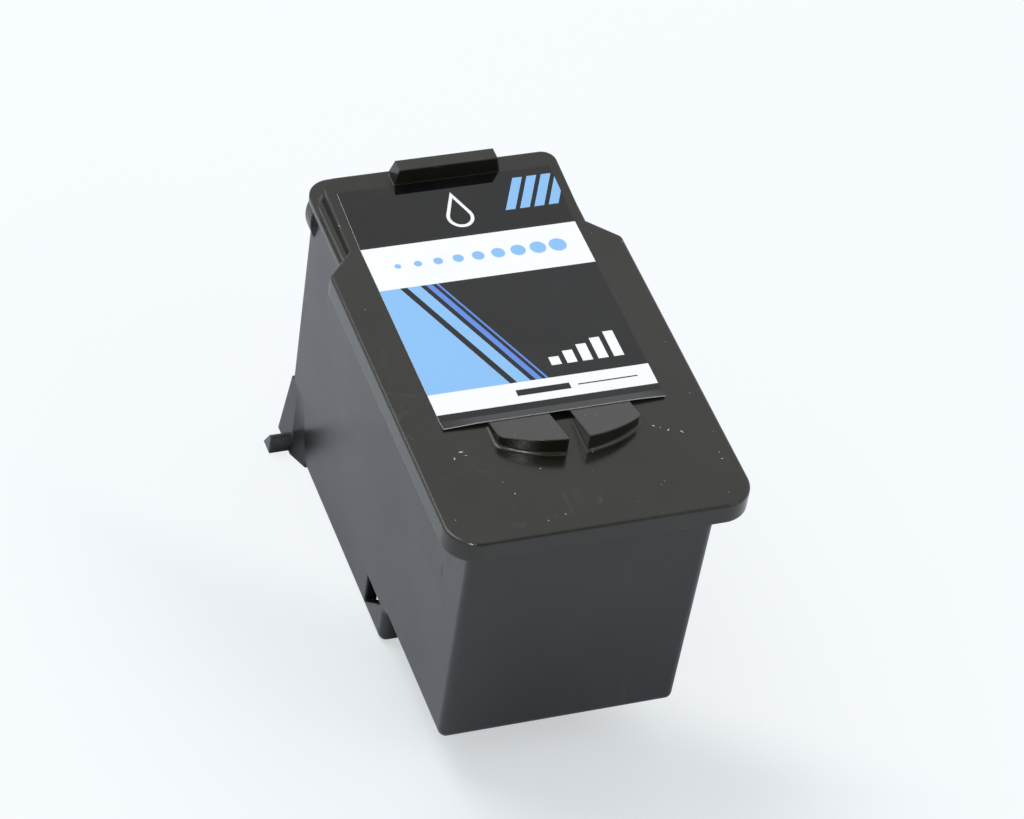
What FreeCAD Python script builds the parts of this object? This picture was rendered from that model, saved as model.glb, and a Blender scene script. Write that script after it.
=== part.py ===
import FreeCAD, Part
import math
import os
import Sketcher

# Ink cartridge with a built-in print head: a moulded tank on a narrower nose, closed by a welded lid.
# X is the width, Y runs from the front (negative) to the contact side at the rear, Z is up.
# The origin is in the middle of the outline, on the plane that the nose stands on.

SIZES = {
    # the lid and the height over all
    "lid_width": 38.0,
    "lid_length": 66.6,
    "body_height": 43.0,
    "lid_thickness": 2.8,
    "lid_corner_radius": 4.0,
    "lid_edge_radius": 0.35,
    "tail_length": 15.3,
    "shoulder_run": 3.9,
    "deck_width": 30.6,
    "deck_setback": 3.1,
    "deck_slope": 4.6,
    "deck_corner_radius": 1.8,
    "deck_root_radius": 0.8,
    "ledge_reach": 1.1,
    "ledge_thickness": 0.9,
    "ledge_corner_radius": 3.3,
    "skirt_clearance": 0.15,
    "skirt_thickness": 1.2,
    "skirt_depth": 1.6,
    "press_rib_depth": 3.0,
    "press_rib_thickness": 1.0,
    "press_rib_spacing": 6.5,
    "press_rib_count": 4.0,
    "press_rib_end_gap": 6.0,
    # the latch block on the lid, and the two halves of the finger rest
    "latch_base_width": 14.0,
    "latch_top_width": 12.9,
    "latch_height": 3.1,
    "latch_setback": 5.6,
    "latch_base_depth": 2.5,
    "latch_top_depth": 1.9,
    "rest_radius": 15.0,
    "rest_front": 12.1,
    "rest_depth": 8.0,
    "rest_slope": 16.7,
    "rest_half_width": 8.9,
    "rest_gap": 2.6,
    "rest_root_radius": 0.4,
    "rest_corner_radius": 1.2,
    "centre_shift": 0.45,
    # the vent under the label
    "vent_hole_width": 1.0,
    "vent_groove_width": 0.5,
    "vent_groove_depth": 0.35,
    "vent_groove_length": 11.0,
    "vent_mouth_lead": 1.0,
    "vent_mouth_width": 3.6,
    "vent_mouth_length": 4.0,
    "vent_mouth_depth": 0.5,
    # the case
    "case_width": 30.9,
    "front_inset": 2.9,
    "rear_inset": 1.3,
    "wall": 1.6,
    "side_draft": 0.5,
    "front_draft": 1.0,
    "floor_height": 5.8,
    "nose_length": 40.0,
    "edge_radius": 1.0,
    "floor_rib_height": 1.0,
    "floor_rib_thickness": 0.9,
    "floor_rib_spacing": 6.0,
    "floor_rib_count": 4.0,
    "floor_rib_gap": 3.0,
    # the cored cells and the windows in the front of the nose
    "cell_length": 10.5,
    "cell_count": 4.0,
    "cell_rib": 1.2,
    "window_setback": 1.4,
    "window_length": 5.3,
    "window_foot": 0.8,
    "window_head_gap": 0.2,
    # the locating tabs, their gussets and the guide ribs
    "tab_inset": 0.1,
    "tab_front": 4.5,
    "tab_foot_depth": 2.4,
    "tab_top_depth": 0.5,
    "tab_height": 2.85,
    "gusset_height": 9.0,
    "gusset_flare": 1.2,
    "gusset_length": 8.0,
    "gusset_ramp": 2.8,
    "guide_rib_length": 2.2,
    "guide_rib_height": 5.2,
    "guide_rib_reach": 0.65,
    "guide_rib_drop": 0.2,
    # the ink port, its filter and the absorber
    "head_setback": 17.3,
    "port_width": 11.0,
    "port_length": 14.0,
    "port_rim": 1.2,
    "port_rise": 0.7,
    "filter_thickness": 0.3,
    "filter_margin": 0.2,
    "absorber_clearance": 0.3,
    "absorber_corner_radius": 1.0,
    # the print head in the underside of the nose
    "tape_recess": 0.35,
    "tape_thickness": 0.15,
    "tape_width": 21.0,
    "tape_side_gap": 0.4,
    "tape_front": 27.0,
    "tape_height": 19.0,
    "tape_corner_radius": 1.5,
    "fold_radius": 0.8,
    "chip_width": 3.2,
    "chip_length": 15.5,
    "chip_thickness": 0.64,
    "chip_gap": 0.5,
    "slot_width": 0.9,
    "slot_length": 13.0,
    "plate_thickness": 0.05,
    "plate_end_gap": 1.1,
    "pad_width": 1.5,
    "pad_height": 1.5,
    "pad_thickness": 0.05,
    "pad_pitch": 2.4,
    "pad_columns": 7.0,
    "pad_rows": 5.0,
    "pad_foot": 6.4,
    "bead_width": 3.8,
    "bead_length": 2.0,
    "bead_height": 0.14,
    # the label
    "label_width": 28.0,
    "label_front": 18.75,
    "label_rear_gap": 5.8,
    "label_thickness": 0.15,
    "label_side_slack": 0.5,
}

doc = FreeCAD.newDocument("ink_cartridge")
sheet = doc.addObject("Spreadsheet::Sheet", "Sizes")
for row, (alias, size) in enumerate(SIZES.items(), start=1):
    sheet.set("A%d" % row, alias)
    sheet.set("B%d" % row, str(size))
    sheet.setAlias("B%d" % row, alias)
doc.recompute()

# Lengths closer than this are the same, and an edge this near to plumb counts as upright
TOLERANCE = 1e-4
PLUMB_RATIO = 0.99

# How far a cut runs on past the material, and how far a piece of moulding is rooted in its neighbour
PAST = "1"
ROOTED = "0.2"

# The number that a sketch gives to the first and to the second end of a line or an arc
FIRST_POINT_NUMBER = 1
SECOND_POINT_NUMBER = 2

# Places that several pieces share, worked out from the sizes above
LID_FRONT = "(-Sizes.lid_length / 2)"
LID_REAR = "(Sizes.lid_length / 2)"
RIM = "(Sizes.body_height - Sizes.lid_thickness)"
CASE_SIDE = "(Sizes.case_width / 2)"
CASE_FRONT = "(-Sizes.lid_length / 2 + Sizes.front_inset)"
CASE_REAR = "(Sizes.lid_length / 2 - Sizes.rear_inset)"
SIDE_LEAN = "tan(Sizes.side_draft * 1 deg)"
FRONT_LEAN = "tan(Sizes.front_draft * 1 deg)"
FLOOR = "(Sizes.floor_height + Sizes.wall)"
NOSE_FRONT = f"({CASE_REAR} - Sizes.nose_length)"
NOSE_SIDE = f"({CASE_SIDE} - {RIM} * {SIDE_LEAN})"
INNER_SIDE = f"({CASE_SIDE} - Sizes.wall)"
INNER_FOOT = f"({INNER_SIDE} - ({RIM} - {FLOOR}) * {SIDE_LEAN})"
INNER_FOOT_FRONT = f"({CASE_FRONT} + Sizes.wall + ({RIM} - {FLOOR}) * {FRONT_LEAN})"
INNER_REAR = f"({CASE_REAR} - Sizes.wall)"
HEAD_CENTRE = f"({CASE_REAR} - Sizes.head_setback)"
DECK_START = "(Sizes.lid_length / 2 - Sizes.tail_length)"
DECK_LEAN = "tan(Sizes.deck_slope * 1 deg)"
REST_LEAN = "tan(Sizes.rest_slope * 1 deg)"
REST_BACK = f"({LID_FRONT} + Sizes.rest_front + Sizes.rest_depth)"
ABSORBER_FOOT = f"({FLOOR} + Sizes.floor_rib_height)"
CHIP_FACE = "(Sizes.tape_recess - Sizes.tape_thickness)"
CHIP_SEAT = f"({CHIP_FACE} + Sizes.chip_thickness)"


def new_body(label):
    body = doc.addObject("PartDesign::Body", label)
    body.Label = label
    return body


def origin_plane(body, role):
    return next(item for item in body.Origin.OriginFeatures if item.Role == role)


def new_sketch(body, name, role, lift="0"):
    """A sketch on one of the body's own planes, moved along that plane's normal by lift."""
    sketch = body.newObject("Sketcher::SketchObject", name)
    sketch.AttachmentSupport = (origin_plane(body, role), [""])
    sketch.MapMode = "FlatFace"
    sketch.setExpression("AttachmentOffset.Base.z", lift)
    return sketch


def formula_value(sketch, formula):
    return float(sketch.evalExpression(formula))


def tie_point(sketch, piece, end, across, up):
    """Hold one end of a line or an arc at the place that two formulas give."""
    for kind, axis, formula in (("DistanceX", -2, across), ("DistanceY", -1, up)):
        value = formula_value(sketch, formula)
        if value == 0:
            sketch.addConstraint(Sketcher.Constraint("PointOnObject", piece, end, axis))
        else:
            held = Sketcher.Constraint(kind, -1, FIRST_POINT_NUMBER, piece, end, value)
            number = sketch.addConstraint(held)
            sketch.setExpression("Constraints[%d]" % number, formula)


def arc_between(start, stop, radius, turn):
    """The shorter arc from start to stop, to the left where turn is 1 and to the right where it is -1."""
    chord = stop - start
    rise = math.sqrt(radius ** 2 - (chord.Length / 2) ** 2)
    leftwards = FreeCAD.Vector(-chord.y, chord.x, 0).normalize()
    centre = (start + stop) / 2 + leftwards * rise * turn
    first, last = (start, stop) if turn > 0 else (stop, start)
    angles = [math.atan2(point.y - centre.y, point.x - centre.x) for point in (first, last)]
    if angles[1] < angles[0]:
        angles[1] += 2 * math.pi
    circle = Part.Circle(centre, FreeCAD.Vector(0, 0, 1), radius)
    return Part.ArcOfCircle(circle, angles[0], angles[1])


def add_outline(sketch, corners, arcs=None):
    """A closed outline whose corners are tied to their formulas. Its sides are straight, but for those
    in arcs, which gives a radius and a turn for the number of the corner that the side starts from."""
    arcs = arcs or {}
    count = len(corners)
    first = sketch.GeometryCount
    spots = [
        FreeCAD.Vector(formula_value(sketch, across), formula_value(sketch, up), 0)
        for across, up in corners
    ]
    starts = []
    stops = []
    for index, spot in enumerate(spots):
        following = spots[(index + 1) % count]
        if index in arcs:
            radius, turn = arcs[index]
            sketch.addGeometry(arc_between(spot, following, formula_value(sketch, radius), turn))
        else:
            turn = 1
            sketch.addGeometry(Part.LineSegment(spot, following))
        starts.append(FIRST_POINT_NUMBER if turn > 0 else SECOND_POINT_NUMBER)
        stops.append(SECOND_POINT_NUMBER if turn > 0 else FIRST_POINT_NUMBER)
    for index in range(count):
        after = (index + 1) % count
        sketch.addConstraint(
            Sketcher.Constraint("Coincident", first + index, stops[index], first + after, starts[after])
        )
    for index, (across, up) in enumerate(corners):
        tie_point(sketch, first + index, starts[index], across, up)
    for index, (radius, turn) in arcs.items():
        number = sketch.addConstraint(
            Sketcher.Constraint("Radius", first + index, formula_value(sketch, radius))
        )
        sketch.setExpression("Constraints[%d]" % number, radius)


def outline(body, name, role, corners, lift="0", arcs=None):
    sketch = new_sketch(body, name, role, lift)
    add_outline(sketch, corners, arcs)
    return sketch


def rectangle(left, right, front, rear):
    return [(left, front), (right, front), (right, rear), (left, rear)]


def centred(half_width, front, rear):
    return rectangle(f"-{half_width}", half_width, front, rear)


def pad(body, name, sketch, length, symmetric=False, reverse=False):
    feature = body.newObject("PartDesign::Pad", name)
    feature.Profile = sketch
    feature.setExpression("Length", length)
    feature.SideType = "Symmetric" if symmetric else "One side"
    feature.Reversed = reverse
    return feature


def pocket(body, name, sketch, length, symmetric=False, reverse=False):
    feature = body.newObject("PartDesign::Pocket", name)
    feature.Profile = sketch
    feature.setExpression("Length", length)
    feature.SideType = "Symmetric" if symmetric else "One side"
    feature.Reversed = reverse
    return feature


def loft(body, name, kind, profile, sections):
    feature = body.newObject("PartDesign::%sLoft" % kind, name)
    feature.Profile = profile
    feature.Sections = sections
    feature.Ruled = True
    return feature


def pattern(body, name, original, span, count):
    """A row of copies across the width, whose first and last lie the given span apart."""
    feature = body.newObject("PartDesign::LinearPattern", name)
    feature.Originals = [original]
    feature.Direction = (original.Profile[0], ["H_Axis"])
    feature.setExpression("Length", span)
    feature.setExpression("Occurrences", count)
    body.Tip = feature
    return feature


def mirror(body, name, originals):
    feature = body.newObject("PartDesign::Mirrored", name)
    feature.Originals = originals
    feature.MirrorPlane = (origin_plane(body, "YZ_Plane"), [""])
    body.Tip = feature
    return feature


def round_edges(body, name, radius, wanted):
    """Round those edges of the body so far that the test accepts."""
    doc.recompute()
    base = body.Tip
    edges = ["Edge%d" % (n + 1) for n, edge in enumerate(base.Shape.Edges) if wanted(edge)]
    feature = body.newObject("PartDesign::Fillet", name)
    feature.Base = (base, edges)
    feature.setExpression("Radius", radius)
    return feature


def size(name):
    return float(sheet.get(name))


def near(value, target):
    return abs(value - target) < TOLERANCE


def ends(edge):
    return [vertex.Point for vertex in edge.Vertexes]


def is_straight(edge):
    points = ends(edge)
    return len(points) == 2 and near(edge.Length, points[0].distanceToPoint(points[1]))


def is_upright(edge):
    """True for a straight edge that is vertical but for the draft of the walls."""
    return is_straight(edge) and edge.BoundBox.ZLength > PLUMB_RATIO * edge.Length


# Tank and nose, moulded in one piece. The tank is a drafted box that is open at the top, and the nose
# is the same box carried down at the rear, so that its sides run on flush from the tank's sides.

case = new_body("tank_case")
cross_section = outline(
    case,
    "cross_section",
    "XZ_Plane",
    [
        (f"-{CASE_SIDE}", RIM),
        (f"-{NOSE_SIDE}", "0"),
        (NOSE_SIDE, "0"),
        (CASE_SIDE, RIM),
    ],
    f"-{CASE_REAR}",
)
pad(case, "block", cross_section, f"{CASE_REAR} - {CASE_FRONT}")
TANK_FOOT_FRONT = f"({CASE_FRONT} + ({RIM} - Sizes.floor_height) * {FRONT_LEAN})"
front_profile = outline(
    case,
    "front_profile",
    "YZ_Plane",
    [
        (f"{CASE_FRONT} - {PAST}", f"-{PAST}"),
        (NOSE_FRONT, f"-{PAST}"),
        (NOSE_FRONT, "Sizes.floor_height"),
        (TANK_FOOT_FRONT, "Sizes.floor_height"),
        (CASE_FRONT, RIM),
        (f"{CASE_FRONT} - {PAST}", RIM),
    ],
)
pocket(case, "front_and_undercut", front_profile, f"Sizes.case_width + {PAST}", symmetric=True)
rim_height = size("body_height") - size("lid_thickness")
round_edges(case, "outer_edges", "Sizes.edge_radius", lambda edge: not near(edge.BoundBox.ZMin, rim_height))

# The tank's inside, with the same draft, so the walls keep one thickness
inside_top = outline(
    case,
    "inside_mouth",
    "XY_Plane",
    centred(INNER_SIDE, f"{CASE_FRONT} + Sizes.wall", INNER_REAR),
    RIM,
)
inside_foot = outline(
    case,
    "inside_foot",
    "XY_Plane",
    centred(INNER_FOOT, INNER_FOOT_FRONT, INNER_REAR),
    FLOOR,
)
loft(case, "inside", "Subtractive", inside_top, [inside_foot])

# Low ribs on the tank floor, which keep the absorber off it
PORT_FRONT = f"({HEAD_CENTRE} - Sizes.port_length / 2 - Sizes.port_rim)"
rib_left = "(-(Sizes.floor_rib_count - 1) * Sizes.floor_rib_spacing / 2 - Sizes.floor_rib_thickness / 2)"
floor_rib = outline(
    case,
    "floor_rib_plan",
    "XY_Plane",
    rectangle(
        rib_left,
        f"{rib_left} + Sizes.floor_rib_thickness",
        f"{INNER_FOOT_FRONT} + Sizes.floor_rib_gap",
        f"{PORT_FRONT} - Sizes.floor_rib_gap",
    ),
    FLOOR,
)
rib = pad(case, "floor_rib", floor_rib, "Sizes.floor_rib_height")
pattern(
    case,
    "floor_ribs",
    rib,
    "(Sizes.floor_rib_count - 1) * Sizes.floor_rib_spacing",
    "Sizes.floor_rib_count",
)

# The ink port: a rim that the filter is welded to, over a funnel that narrows to the chip's feed slot
port_half = "(Sizes.port_width / 2)"
port_rim_plan = outline(
    case,
    "port_rim_plan",
    "XY_Plane",
    centred(
        f"({port_half} + Sizes.port_rim)",
        PORT_FRONT,
        f"{HEAD_CENTRE} + Sizes.port_length / 2 + Sizes.port_rim",
    ),
    FLOOR,
)
pad(case, "port_rim", port_rim_plan, "Sizes.port_rise")
funnel_top = outline(
    case,
    "funnel_top",
    "XY_Plane",
    centred(
        port_half,
        f"{HEAD_CENTRE} - Sizes.port_length / 2",
        f"{HEAD_CENTRE} + Sizes.port_length / 2",
    ),
    f"{FLOOR} + Sizes.port_rise",
)
slot_plan = centred(
    "(Sizes.slot_width / 2)",
    f"{HEAD_CENTRE} - Sizes.slot_length / 2",
    f"{HEAD_CENTRE} + Sizes.slot_length / 2",
)
funnel_foot = outline(case, "funnel_foot", "XY_Plane", slot_plan, CHIP_SEAT)
loft(case, "funnel", "Subtractive", funnel_top, [funnel_foot])

# The underside of the nose: a shallow recess for the wiring tape, rounded where the tape folds up the
# rear wall, and in it a deeper seat for the chip
TAPE_FRONT = f"({CASE_REAR} - Sizes.tape_front)"
recess_front = f"{TAPE_FRONT} - Sizes.tape_side_gap"
recess_profile = outline(
    case,
    "tape_recess_profile",
    "YZ_Plane",
    [
        (recess_front, f"-{PAST}"),
        (f"{CASE_REAR} + {PAST}", f"-{PAST}"),
        (f"{CASE_REAR} + {PAST}", "Sizes.tape_recess + Sizes.fold_radius"),
        (CASE_REAR, "Sizes.tape_recess + Sizes.fold_radius"),
        (f"{CASE_REAR} - Sizes.fold_radius", "Sizes.tape_recess"),
        (recess_front, "Sizes.tape_recess"),
    ],
    arcs={3: ("Sizes.fold_radius", -1)},
)
pocket(case, "tape_recess", recess_profile, "Sizes.tape_width + 2 * Sizes.tape_side_gap", symmetric=True)
seat_plan = centred(
    "(Sizes.chip_width / 2 + Sizes.chip_gap)",
    f"{HEAD_CENTRE} - Sizes.chip_length / 2 - Sizes.chip_gap",
    f"{HEAD_CENTRE} + Sizes.chip_length / 2 + Sizes.chip_gap",
)
seat = outline(case, "chip_seat_plan", "XY_Plane", seat_plan)
pocket(case, "chip_seat", seat, CHIP_SEAT, reverse=True)

# Cored cells behind the front wall of the nose, with thin ribs between them
CELL_SPAN = f"(2 * ({NOSE_SIDE} - Sizes.wall))"
CELL_WIDTH = f"(({CELL_SPAN} - (Sizes.cell_count - 1) * Sizes.cell_rib) / Sizes.cell_count)"
cell_plan = outline(
    case,
    "cell_plan",
    "XY_Plane",
    rectangle(
        f"-{CELL_SPAN} / 2",
        f"-{CELL_SPAN} / 2 + {CELL_WIDTH}",
        f"{NOSE_FRONT} + Sizes.wall",
        f"{NOSE_FRONT} + Sizes.wall + Sizes.cell_length",
    ),
)
cell = pocket(case, "cell", cell_plan, "Sizes.floor_height", reverse=True)
pattern(case, "cells", cell, f"{CELL_SPAN} - {CELL_WIDTH}", "Sizes.cell_count")

# A three-cornered window through each side wall of the nose, with its slope towards the front
window_front = f"{NOSE_FRONT} + Sizes.window_setback"
window_rear = f"{window_front} + Sizes.window_length"
window_head = "Sizes.floor_height - Sizes.window_head_gap"
window_profile = outline(
    case,
    "window_profile",
    "YZ_Plane",
    [
        (window_front, window_head),
        (window_rear, "Sizes.window_foot"),
        (window_rear, window_head),
    ],
    f"{NOSE_SIDE} + {PAST}",
)
window = pocket(case, "window", window_profile, f"Sizes.wall + 2 * {PAST}")

# At the rear foot each side flares into a gusset that carries a locating tab
GUSSET_FRONT = f"({CASE_REAR} - Sizes.gusset_length)"
gusset_root = f"({NOSE_SIDE} - Sizes.wall / 2)"
gusset_top_side = f"({NOSE_SIDE} + Sizes.gusset_height * {SIDE_LEAN})"
gusset_foot = outline(
    case,
    "gusset_foot",
    "XY_Plane",
    [
        (gusset_root, GUSSET_FRONT),
        (NOSE_SIDE, GUSSET_FRONT),
        (f"{NOSE_SIDE} + Sizes.gusset_flare", f"{GUSSET_FRONT} + Sizes.gusset_ramp"),
        (f"{NOSE_SIDE} + Sizes.gusset_flare", CASE_REAR),
        (gusset_root, CASE_REAR),
    ],
)
gusset_top = outline(
    case,
    "gusset_top",
    "XY_Plane",
    [
        (gusset_root, f"{GUSSET_FRONT} + Sizes.gusset_ramp"),
        (gusset_top_side, f"{GUSSET_FRONT} + Sizes.gusset_ramp"),
        (gusset_top_side, f"{GUSSET_FRONT} + 2 * Sizes.gusset_ramp"),
        (gusset_top_side, CASE_REAR),
        (gusset_root, CASE_REAR),
    ],
    "Sizes.gusset_height",
)
gusset = loft(case, "gusset", "Additive", gusset_foot, [gusset_top])
TAB_FRONT = f"({CASE_REAR} - Sizes.tab_front)"
tab_profile = outline(
    case,
    "tab_profile",
    "YZ_Plane",
    [
        (TAB_FRONT, "0"),
        (f"{TAB_FRONT} + Sizes.tab_foot_depth", "0"),
        (f"{TAB_FRONT} + Sizes.tab_top_depth", "Sizes.tab_height"),
        (TAB_FRONT, "Sizes.tab_height"),
    ],
    gusset_root,
)
tab = pad(case, "tab", tab_profile, f"Sizes.lid_width / 2 - Sizes.tab_inset - {gusset_root}")

# A short guide rib under each rear corner of the lid, arched outwards
rib_top = f"({RIM} - Sizes.guide_rib_drop)"
rib_foot = f"({rib_top} - Sizes.guide_rib_height)"
rib_root = f"({CASE_SIDE} - Sizes.wall / 2)"
top_side = f"({CASE_SIDE} - Sizes.guide_rib_drop * {SIDE_LEAN})"
foot_side = f"({top_side} - Sizes.guide_rib_height * {SIDE_LEAN})"
arch_radius = (
    "((pow(Sizes.guide_rib_height; 2) / 4 + pow(Sizes.guide_rib_reach; 2))"
    " / (2 * Sizes.guide_rib_reach))"
)
guide_profile = outline(
    case,
    "guide_rib_profile",
    "XZ_Plane",
    [
        (rib_root, rib_foot),
        (foot_side, rib_foot),
        (top_side, rib_top),
        (rib_root, rib_top),
    ],
    f"-{CASE_REAR}",
    arcs={1: (arch_radius, 1)},
)
guide = pad(case, "guide_rib", guide_profile, "Sizes.guide_rib_length")
mirror(case, "other_side", [window, gusset, tab, guide])

# Lid, moulded in one piece with its latch block and finger rest, and welded to the rim of the case.
# In front it is a plain plate. Behind the shoulders it is narrower, with a thin ledge at each side of
# a deck that rises towards the latch.

lid = new_body("lid")
LID_SIDE = "(Sizes.lid_width / 2)"
DECK_SIDE = "(Sizes.deck_width / 2)"
LEDGE_SIDE = f"({DECK_SIDE} + Sizes.ledge_reach)"
SHOULDER = f"({DECK_START} - Sizes.shoulder_run)"
shoulder_pitch = f"(Sizes.shoulder_run / ({LID_SIDE} - {DECK_SIDE}))"
ledge_start = f"({SHOULDER} + ({LID_SIDE} - {LEDGE_SIDE}) * {shoulder_pitch})"
plate_plan = outline(
    lid,
    "plate_plan",
    "XY_Plane",
    [
        (f"-{LID_SIDE}", LID_FRONT),
        (LID_SIDE, LID_FRONT),
        (LID_SIDE, SHOULDER),
        (DECK_SIDE, DECK_START),
        (f"-{DECK_SIDE}", DECK_START),
        (f"-{LID_SIDE}", SHOULDER),
    ],
    RIM,
)
pad(lid, "plate", plate_plan, "Sizes.lid_thickness")
deck_start = size("lid_length") / 2 - size("tail_length")
round_edges(
    lid,
    "front_corners",
    "Sizes.lid_corner_radius",
    lambda edge: is_upright(edge) and near(edge.BoundBox.YMin, -size("lid_length") / 2),
)
round_edges(
    lid,
    "shoulder_corners",
    "Sizes.edge_radius",
    lambda edge: is_upright(edge) and near(abs(edge.BoundBox.XMin), size("lid_width") / 2)
    and near(edge.BoundBox.YMin, deck_start - size("shoulder_run")),
)
round_edges(
    lid,
    "plate_top_edge",
    "Sizes.lid_edge_radius",
    lambda edge: near(edge.BoundBox.ZMin, size("body_height"))
    and edge.BoundBox.YMin < deck_start - TOLERANCE,
)
ledge_plan = outline(
    lid,
    "ledge_plan",
    "XY_Plane",
    [
        (f"-{LEDGE_SIDE}", ledge_start),
        (f"-{LEDGE_SIDE} + {PAST}", f"{ledge_start} - {PAST}"),
        (f"{LEDGE_SIDE} - {PAST}", f"{ledge_start} - {PAST}"),
        (LEDGE_SIDE, ledge_start),
        (LEDGE_SIDE, LID_REAR),
        (f"-{LEDGE_SIDE}", LID_REAR),
    ],
    RIM,
)
pad(lid, "ledge", ledge_plan, "Sizes.ledge_thickness")
round_edges(
    lid,
    "rear_corners",
    "Sizes.ledge_corner_radius",
    lambda edge: is_upright(edge) and near(edge.BoundBox.YMin, size("lid_length") / 2),
)
deck_rear = f"({LID_REAR} - Sizes.deck_setback)"
deck_top = f"(Sizes.body_height + ({deck_rear} - {DECK_START}) * {DECK_LEAN})"
deck_profile = outline(
    lid,
    "deck_profile",
    "YZ_Plane",
    [
        (f"{DECK_START} - {PAST}", RIM),
        (deck_rear, RIM),
        (deck_rear, deck_top),
        (DECK_START, "Sizes.body_height"),
        (f"{DECK_START} - {PAST}", "Sizes.body_height"),
    ],
)
pad(lid, "deck", deck_profile, "Sizes.deck_width", symmetric=True)
round_edges(
    lid,
    "deck_corners",
    "Sizes.deck_corner_radius",
    lambda edge: is_upright(edge)
    and near(edge.BoundBox.YMin, size("lid_length") / 2 - size("deck_setback")),
)


def is_deck_root(edge):
    """True for the lines where the deck's sides and rear stand on the ledges."""
    ledge_top = size("body_height") - size("lid_thickness") + size("ledge_thickness")
    deck_side = size("deck_width") / 2 + TOLERANCE
    deck_back = size("lid_length") / 2 - size("deck_setback") + TOLERANCE
    return all(
        near(point.z, ledge_top)
        and abs(point.x) < deck_side
        and deck_start - TOLERANCE < point.y < deck_back
        for point in ends(edge)
    )


round_edges(lid, "deck_root", "Sizes.deck_root_radius", is_deck_root)

# The latch block, which the carriage's lever holds down. It and the finger rest lie a little to one
# side of the lid's middle.


def shifted(half_width, front, rear):
    return rectangle(f"Sizes.centre_shift - {half_width}", f"Sizes.centre_shift + {half_width}", front, rear)


latch_front = f"({LID_REAR} - Sizes.latch_setback)"
latch_root = f"(Sizes.body_height + ({latch_front} - {DECK_START}) * {DECK_LEAN} - {ROOTED})"
latch_base = outline(
    lid,
    "latch_base",
    "XY_Plane",
    shifted("Sizes.latch_base_width / 2", latch_front, f"{latch_front} + Sizes.latch_base_depth"),
    latch_root,
)
latch_crown = outline(
    lid,
    "latch_crown",
    "XY_Plane",
    shifted("Sizes.latch_top_width / 2", latch_front, f"{latch_front} + Sizes.latch_top_depth"),
    "Sizes.body_height + Sizes.latch_height",
)
loft(lid, "latch", "Additive", latch_base, [latch_crown])

# The finger rest: two raised halves with an arched front wall, whose tops slope down under the label
rest_centre = f"({LID_FRONT} + Sizes.rest_front + Sizes.rest_radius)"
rest_corner = f"({rest_centre} - sqrt(pow(Sizes.rest_radius; 2) - pow(Sizes.rest_half_width; 2)))"
REST_HEIGHT = f"(Sizes.rest_depth * {REST_LEAN})"
rest = outline(
    lid,
    "rest_plan",
    "XY_Plane",
    shifted("Sizes.rest_half_width", rest_corner, REST_BACK),
    "Sizes.body_height",
    arcs={0: ("Sizes.rest_radius", 1)},
)
pad(lid, "rest_block", rest, REST_HEIGHT)
above_rest = f"(Sizes.body_height + (Sizes.rest_depth + {PAST}) * {REST_LEAN})"
rest_slope = outline(
    lid,
    "rest_slope_profile",
    "YZ_Plane",
    [
        (REST_BACK, "Sizes.body_height"),
        (f"{REST_BACK} + {PAST}", "Sizes.body_height"),
        (f"{REST_BACK} + {PAST}", above_rest),
        (f"{REST_BACK} - Sizes.rest_depth - {PAST}", above_rest),
    ],
)
rest_reach = f"2 * (Sizes.rest_half_width + Sizes.centre_shift) + {PAST}"
pocket(lid, "rest_slope", rest_slope, rest_reach, symmetric=True)
rest_gap = outline(
    lid,
    "rest_gap_plan",
    "XY_Plane",
    shifted("Sizes.rest_gap / 2", f"{LID_FRONT} + Sizes.rest_front - {PAST}", f"{REST_BACK} + {PAST}"),
    "Sizes.body_height",
)
pocket(lid, "rest_gap", rest_gap, f"{REST_HEIGHT} + {PAST}", reverse=True)


def is_rest_corner(edge):
    """True for the upright edges where the rest's arched front wall meets its two ends."""
    outermost = size("rest_half_width") - TOLERANCE
    foot = size("body_height") - TOLERANCE
    front = size("rest_front") - size("lid_length") / 2
    back = front + size("rest_depth") / 2
    return (
        is_upright(edge)
        and edge.BoundBox.ZMin > foot
        and abs(edge.BoundBox.XMin - size("centre_shift")) > outermost
        and front < edge.BoundBox.YMin < back
    )


def is_rest_root(edge):
    """True for the arcs where the rest's front wall stands on the plate."""
    front = size("rest_front") - size("lid_length") / 2
    return not is_straight(edge) and all(
        near(point.z, size("body_height")) and point.y > front for point in ends(edge)
    )


round_edges(lid, "rest_corners", "Sizes.rest_corner_radius", is_rest_corner)
round_edges(lid, "rest_root", "Sizes.rest_root_radius", is_rest_root)

# The vent: a mouth at the label's front edge, a fine groove behind it, and a hole down into the tank
LABEL_FRONT = f"({LID_FRONT} + Sizes.label_front)"
mouth_front = f"({LABEL_FRONT} - Sizes.vent_mouth_lead)"
mouth_rear = f"({mouth_front} + Sizes.vent_mouth_length)"
vent_mouth = outline(
    lid,
    "vent_mouth_plan",
    "XY_Plane",
    rectangle(
        "-Sizes.vent_mouth_width / 2",
        "Sizes.vent_mouth_width / 2",
        mouth_front,
        mouth_rear,
    ),
    "Sizes.body_height",
)
pocket(lid, "vent_mouth", vent_mouth, "Sizes.vent_mouth_depth")
groove_rear = f"{mouth_rear} + Sizes.vent_groove_length"
vent_groove = outline(
    lid,
    "vent_groove_plan",
    "XY_Plane",
    rectangle(
        "-Sizes.vent_groove_width / 2",
        "Sizes.vent_groove_width / 2",
        mouth_rear,
        groove_rear,
    ),
    "Sizes.body_height",
)
pocket(lid, "vent_groove", vent_groove, "Sizes.vent_groove_depth")
vent_hole = outline(
    lid,
    "vent_hole_plan",
    "XY_Plane",
    centred("(Sizes.vent_hole_width / 2)", groove_rear, f"{groove_rear} + Sizes.vent_hole_width"),
    "Sizes.body_height",
)
pocket(lid, "vent_hole", vent_hole, "Sizes.lid_thickness")

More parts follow.
